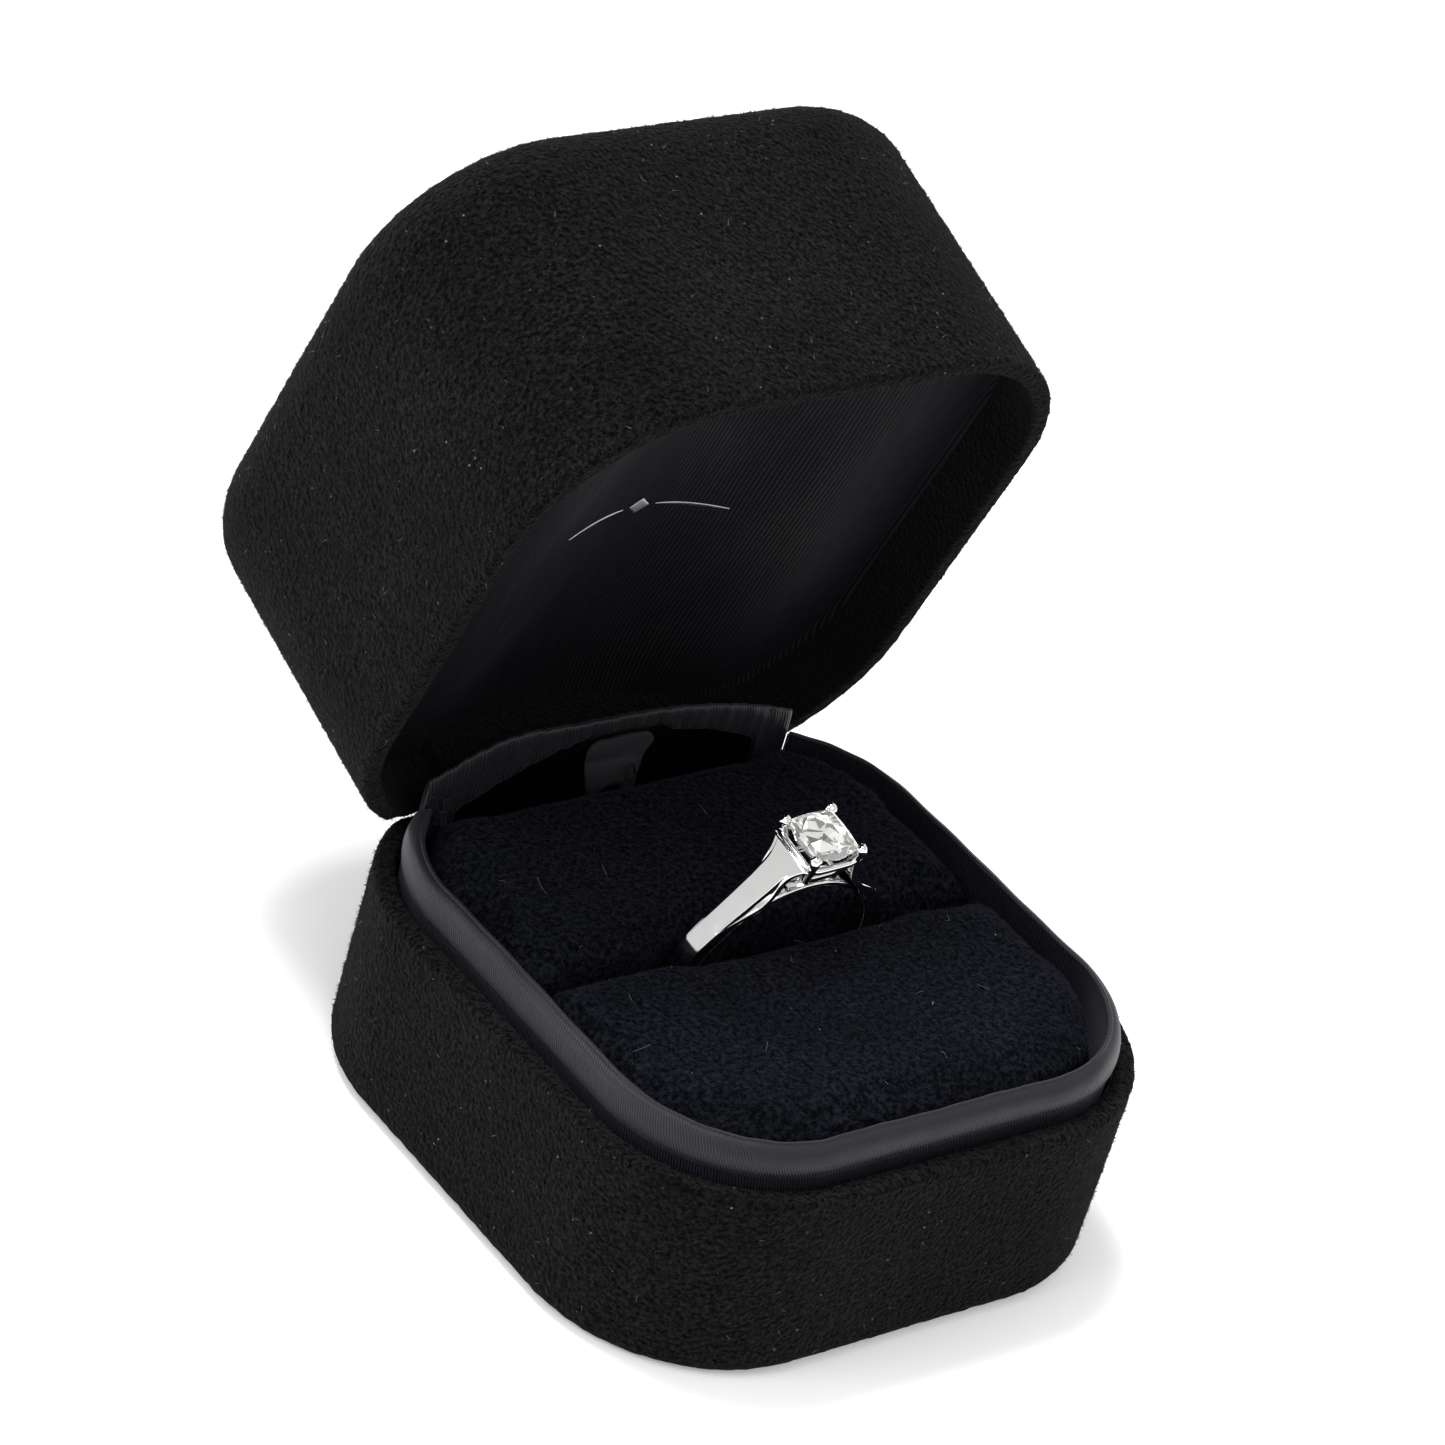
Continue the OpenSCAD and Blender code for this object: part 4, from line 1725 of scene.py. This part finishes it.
    def foil(self) -> bpy.types.Object:
        """Builds the plain foil ornament: a small lozenge between two fine lines.

        Returns:
            The ornament.
        """
        parts = []
        for name, first, last in (("left", -8.2, -1.9), ("right", 1.3, 7.6)):
            x = np.linspace(first, last, 40)
            y = np.full(40, 1.0)
            z = self.box.rim_z + self.depth(x, y) - 0.05
            taper = np.sin(np.linspace(0.12, np.pi - 0.12, 40)) ** 0.6
            parts.append(bar(name, np.stack([x, y, z], 1) * MM, 0.34 * taper * MM,
                             np.full(40, 0.07 * MM), (0, 1, 0), edge=3.0, steps=8))
        x = np.linspace(-1.25, 0.65, 16)
        wide = 1.9 * (1 - np.abs(np.linspace(-1, 1, 16))) + 0.04
        z = self.box.rim_z + self.depth(x, np.full(16, 1.0)) - 0.05
        path = np.stack([x, np.full(16, 1.0), z], 1) * MM
        parts.append(bar("lozenge", path, wide * MM, np.full(16, 0.07 * MM), (0, 1, 0),
                         edge=3.0, steps=12))
        piece = joined("liner_foil_ornament", parts)
        transform(piece, self.box.opened)
        dress(piece, self.finishes.foil)
        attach(piece, "lid")
        self.flatten(piece)
        return piece

    def build(self) -> list[bpy.types.Object]:
        """Builds every piece of the lid."""
        cover = self.cover()
        return [cover, *self.nap(cover), self.liner(), self.foil()]


@dataclass
class Ring:
    """The solitaire: band, shoulders, basket and square stone."""

    box: BoxSizes
    finishes: Finishes
    inner: float = 8.2
    band: float = 1.5
    width: float = 2.2
    strand: float = 0.54
    stone: float = 4.7
    rise: float = 3.6

    @property
    def girdle(self) -> float:
        """Height of the stone's girdle above the ring's centre."""
        return self.inner + self.band + self.rise

    def route(self) -> tuple[Array, Array]:
        """Gives the middle line of the right arm, from the band's foot up to the head.

        Returns:
            Points across and up in millimetres, and each one's share of the way from the
            round part to the head.
        """
        mid = self.inner + self.band / 2
        turn = np.radians(np.linspace(-92, 36, 46))
        low = np.stack([np.cos(turn) * mid, np.sin(turn) * mid], 1)
        s = np.linspace(0, 1, 38)[1:]
        first, last = low[-1], np.array([self.stone / 2 + 0.05, self.girdle - 1.0])
        pull = first + 4.6 * np.array([-math.sin(turn[-1]), math.cos(turn[-1])])
        high = (np.outer((1 - s) ** 2, first) + np.outer(2 * s * (1 - s), pull)
                + np.outer(s ** 2, last))
        return np.concatenate([low, high]), np.concatenate([np.zeros(len(low)), s])

    def arms(self) -> list[bpy.types.Object]:
        """Builds both double arms, slim in the slot and flared at the head.

        Returns:
            The four arms.
        """
        way, up = self.route()
        slim = np.clip((0.6 - np.arctan2(way[:, 1], way[:, 0])) / 0.8, 0, 1)
        wide = self.width - 0.25 - 0.4 * slim + 0.65 * up ** 1.4
        wide += 1.5 * np.clip((up - 0.74) / 0.26, 0, 1) ** 2
        deep = self.band - 0.6 * np.clip(up / 0.6, 0, 1)
        ahead = np.gradient(way, axis=0)
        ahead /= np.linalg.norm(ahead, axis=1)[:, None]
        out = np.stack([ahead[:, 1], -ahead[:, 0]], 1)
        drop = 0.02 + 0.85 * np.sin(np.pi * np.clip(up / 0.86, 0, 1)) ** 1.5
        spread = 0.5 * np.clip(up / 0.4, 0, 1) ** 2
        under = way + out * (deep / 2 - drop - self.strand / 2)[:, None]
        made = []
        for side in (-1, 1):
            for name, middle, widths, depths in (
                    ("arm", way, wide, deep),
                    ("under_arm", under, wide + spread, np.full(len(way), self.strand))):
                path = np.stack([middle[:, 0] * side, way[:, 0] * 0, middle[:, 1]], 1)
                made.append(bar(name, path * MM, widths * MM, depths * MM, (0, 1, 0), False, 7.0,
                                32))
        return made

    def shank(self) -> bpy.types.Object:
        """Builds the band: its arms, and the inner arc that bridges them under the head, painted
        darker away from the head as painted shade.

        Returns:
            The band.
        """
        turn = np.radians(np.linspace(34, 146, 60))
        path = np.stack([np.cos(turn), turn * 0, np.sin(turn)], 1) * (self.inner + 0.3)
        inner = bar("inner_arc", path * MM, np.full(60, 1.8 * MM), np.full(60, 0.6 * MM), (0, 1, 0),
                    False, 4.0, 20)
        # painted shade: the inner arc is darkened away from the head, standing in for the dark
        # reflection there
        tone = inner.data.attributes.new("painted_shade", "FLOAT", "POINT")
        far = np.array([abs(v.co.x) / MM for v in inner.data.vertices])
        tone.data.foreach_set("value", 0.9 * np.clip((far - 3.6) / 1.0, 0, 1))
        return joined("ring_band", [*self.arms(), inner])

    def rail(self, name: str, half: float, z: float, wide: float, tall: float) -> bpy.types.Object:
        """Builds one square rail of the basket with rounded corners.

        Args:
            name: name of the rail.
            half: half its side.
            z: its height.
            wide: its width.
            tall: its depth.

        Returns:
            The rail.
        """
        turn = np.linspace(0, 2 * np.pi, 64, endpoint=False)
        c, s = np.cos(turn), np.sin(turn)
        x = half * np.sign(c) * np.abs(c) ** 0.35
        y = half * np.sign(s) * np.abs(s) ** 0.35
        path = np.stack([x, y, np.full(64, z)], 1)
        return bar(name, path * MM, np.full(64, tall * MM), np.full(64, wide * MM), (0, 0, 1),
                   True, 3.0, 12)

    def basket(self) -> bpy.types.Object:
        """Builds the basket: two rails and four claws with rounded tips.

        Returns:
            The basket.
        """
        half = self.stone / 2
        parts = [self.rail("upper", half - 0.02, self.girdle - 0.95, 0.5, 0.55),
                 self.rail("lower", 1.45, self.girdle - 2.85, 0.5, 0.7)]
        t = np.linspace(0, 1, 14)
        for a, b in ((1, 1), (1, -1), (-1, 1), (-1, -1)):
            low = np.array([1.35 * a, 1.35 * b, self.girdle - 3.1])
            high = np.array([(half - 0.04) * a, (half - 0.04) * b, self.girdle + 0.02])
            tip = high + np.array([-0.36 * a, -0.36 * b, 0.40])
            path = low + (high - low) * t[:, None]
            path = np.concatenate([path, high + (tip - high) * np.linspace(0.2, 1, 6)[:, None]])
            thick = np.concatenate([0.66 + 0.12 * t, [0.86, 0.94, 0.97, 0.92, 0.76, 0.42]])
            parts.append(bar("claw", path * MM, thick * MM, thick * MM, (a, -b, 0.01), False,
                             2.0, 14))
        return joined("ring_basket", parts)

    def gem(self) -> bpy.types.Object:
        """Cuts the square stone facet by facet out of a block.

        Returns:
            The stone.
        """
        half = self.stone / 2
        bm = bmesh.new()
        bmesh.ops.create_cube(bm, size=1.0)
        bmesh.ops.scale(bm, vec=(self.stone, self.stone, 6.0), verts=bm.verts[:])
        cuts = [(0.0, 0.0, 0.0, 0.56)]
        for quarter in range(4):
            base = 90 * quarter
            cuts.append((base, 38, half, 0.1))
            cuts.append((base + 45, 28, half * 1.34, 0.12))
            for swing, steep, drop in ((0, 41, 0.16), (9, 47, 0.1), (-9, 47, 0.1),
                                       (20, 54, 0.05), (-20, 54, 0.05)):
                cuts.append((base + swing, 180 - steep, half * 0.985, -drop))
        for turn, tilt, reach, z in cuts:
            t, a = math.radians(turn), math.radians(tilt)
            normal = Vector((math.sin(a) * math.cos(t), math.sin(a) * math.sin(t), math.cos(a)))
            point = Vector((reach * math.cos(t), reach * math.sin(t), z))
            done = bmesh.ops.bisect_plane(bm, geom=[*bm.verts, *bm.edges, *bm.faces], dist=1e-5,
                                          plane_co=point, plane_no=normal, clear_outer=True)
            rim = [g for g in done["geom_cut"] if isinstance(g, bmesh.types.BMEdge)]
            if rim:
                bmesh.ops.holes_fill(bm, edges=rim, sides=0)
        bmesh.ops.dissolve_degenerate(bm, edges=bm.edges[:], dist=1e-4)
        bmesh.ops.translate(bm, vec=(0, 0, self.girdle), verts=bm.verts[:])
        bmesh.ops.scale(bm, vec=(MM, MM, MM), verts=bm.verts[:])
        bmesh.ops.recalc_face_normals(bm, faces=bm.faces[:])
        piece = to_object(bm, "ring_stone")
        piece.data.shade_flat()
        return piece

    def build(self) -> list[bpy.types.Object]:
        """Builds the ring and stands it in the slot.

        Returns:
            The pieces.
        """
        f = self.finishes
        made = []
        for piece, node, finish, slot in (
                (self.shank(), "ring_shank", f.ring, "ring_metal"),
                (self.basket(), "ring_head", f.ring, "ring_metal"),
                (self.gem(), "diamond", f.stone, "diamond")):
            transform(piece, self.box.slot)
            dress(piece, finish)
            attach(piece, "ring")
            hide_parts(node)
            made.append(piece)
        return made


@dataclass(frozen=True)
class Panel:
    """A square soft light: its place and side in metres, its power in watts."""

    name: str
    at: tuple[float, float, float]
    size: float
    power: float


@dataclass(frozen=True)
class Studio:
    """Floor, lights and camera; the eye's place is in millimetres."""

    eye: tuple[float, float, float] = (-273.93, -254.73, 273.74)
    across: tuple[float, float, float] = (0.77843, -0.57670, 0.24794)
    down: tuple[float, float, float] = (-0.16316, -0.56727, -0.80721)
    back: tuple[float, float, float] = (-0.60617, -0.58790, 0.53567)
    lens: float = 147.385
    sky: float = 0.75
    floor_glow: float = 0.18
    panels: tuple[Panel, ...] = (
        Panel("key_left", (-0.8, 0.1, 0.75), 0.5, 4.0),
        Panel("high_back", (-0.1, 0.5, 1.4), 0.4, 18.0),
        Panel("front_fill", (-0.35, -0.9, 0.9), 0.6, 3.0),
    )

    def floor(self) -> None:
        """Lays a plain pale floor."""
        bm = bmesh.new()
        bmesh.ops.create_grid(bm, x_segments=1, y_segments=1, size=3.0)
        floor = to_object(bm, "studio_floor")
        shade = Shade("pale_floor")
        shade.set(Base_Color=(0.9, 0.9, 0.9, 1), Roughness=0.9, Emission_Color=(1, 1, 1, 1),
                  Emission_Strength=self.floor_glow)
        dress(floor, shade.finish())

    def hang(self, panel: Panel) -> None:
        """Hangs a square soft light that looks at the box.

        Args:
            panel: the light.
        """
        lamp = bpy.data.lights.new(panel.name, "AREA")
        lamp.size, lamp.energy = panel.size, panel.power
        obj = bpy.data.objects.new(panel.name, lamp)
        obj.location = panel.at
        aim = Vector((0, 0.01, 0.03)) - Vector(panel.at)
        obj.rotation_euler = aim.to_track_quat("-Z", "Y").to_euler()
        bpy.context.scene.collection.objects.link(obj)

    def aim(self) -> None:
        """Sets up the camera."""
        lens = bpy.data.cameras.new("camera")
        lens.lens, lens.sensor_width = self.lens, 36.0
        lens.clip_start, lens.clip_end = 0.01, 20.0
        eye = bpy.data.objects.new("camera", lens)
        across, down, back = (Vector(v) for v in (self.across, self.down, self.back))
        turn = Matrix((across, -down, back)).transposed().to_4x4()
        eye.matrix_world = Matrix.Translation(Vector(self.eye) * MM) @ turn
        bpy.context.scene.collection.objects.link(eye)
        bpy.context.scene.camera = eye

    def build(self) -> None:
        """Sets up the whole studio."""
        self.floor()
        world = bpy.data.worlds.new("studio")
        world.use_nodes = True
        sky = world.node_tree.nodes["Background"]
        sky.inputs["Color"].default_value = (1, 1, 1, 1)
        sky.inputs["Strength"].default_value = self.sky
        bpy.context.scene.world = world
        for panel in self.panels:
            self.hang(panel)
        self.aim()
        bpy.context.scene.view_settings.view_transform = "Standard"


def dress_frame(finishes: Finishes) -> None:
    """Gives every CAD node its finish, hidden ones among them.

    Args:
        finishes: the box's materials.
    """
    plan = {
        finishes.shell: ("base_shell", "lid_shell"),
        finishes.suede: ("base_cover", "lid_cover", "lid_lining"),
        finishes.felt: ("base_bottom_pad",),
        finishes.foam: ("foam_block",),
        finishes.board: ("cushion_card", "collar_frame", "liner_card"),
        finishes.velvet: ("cushion_front", "cushion_back"),
        finishes.satin: ("collar_satin", "hinge_band", "hinge_tongue"),
        finishes.liner: ("liner_satin",),
        finishes.steel: ("hinge_base_leaf", "hinge_lid_leaf", "hinge_pin", "hinge_bow",
                         "hinge_base_rivets", "hinge_lid_rivets"),
        finishes.ring: ("ring_shank", "ring_head"),
        finishes.stone: ("diamond",),
    }
    for material, nodes in plan.items():
        for node in nodes:
            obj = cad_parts[node]
            for slot in obj.material_slots:
                slot.link = "DATA"
                slot.material = material


def main() -> None:
    """Builds the box piece by piece."""
    logging.basicConfig(level=logging.INFO, format="%(name)s: %(message)s")
    box = BoxSizes()
    finishes = Finishes.make()
    dress_frame(finishes)
    Studio().build()
    for part in (Base(box, finishes), Collar(box, finishes), Arch(box, finishes),
                 Cushion(box, finishes), Lid(box, finishes), Ring(box, finishes)):
        for piece in part.build():
            count = sum(len(p.vertices) - 2 for p in piece.data.polygons)
            LOG.info("%s: %s, %d triangles", type(part).__name__, piece.name, count)


if __name__ == "__main__":
    main()
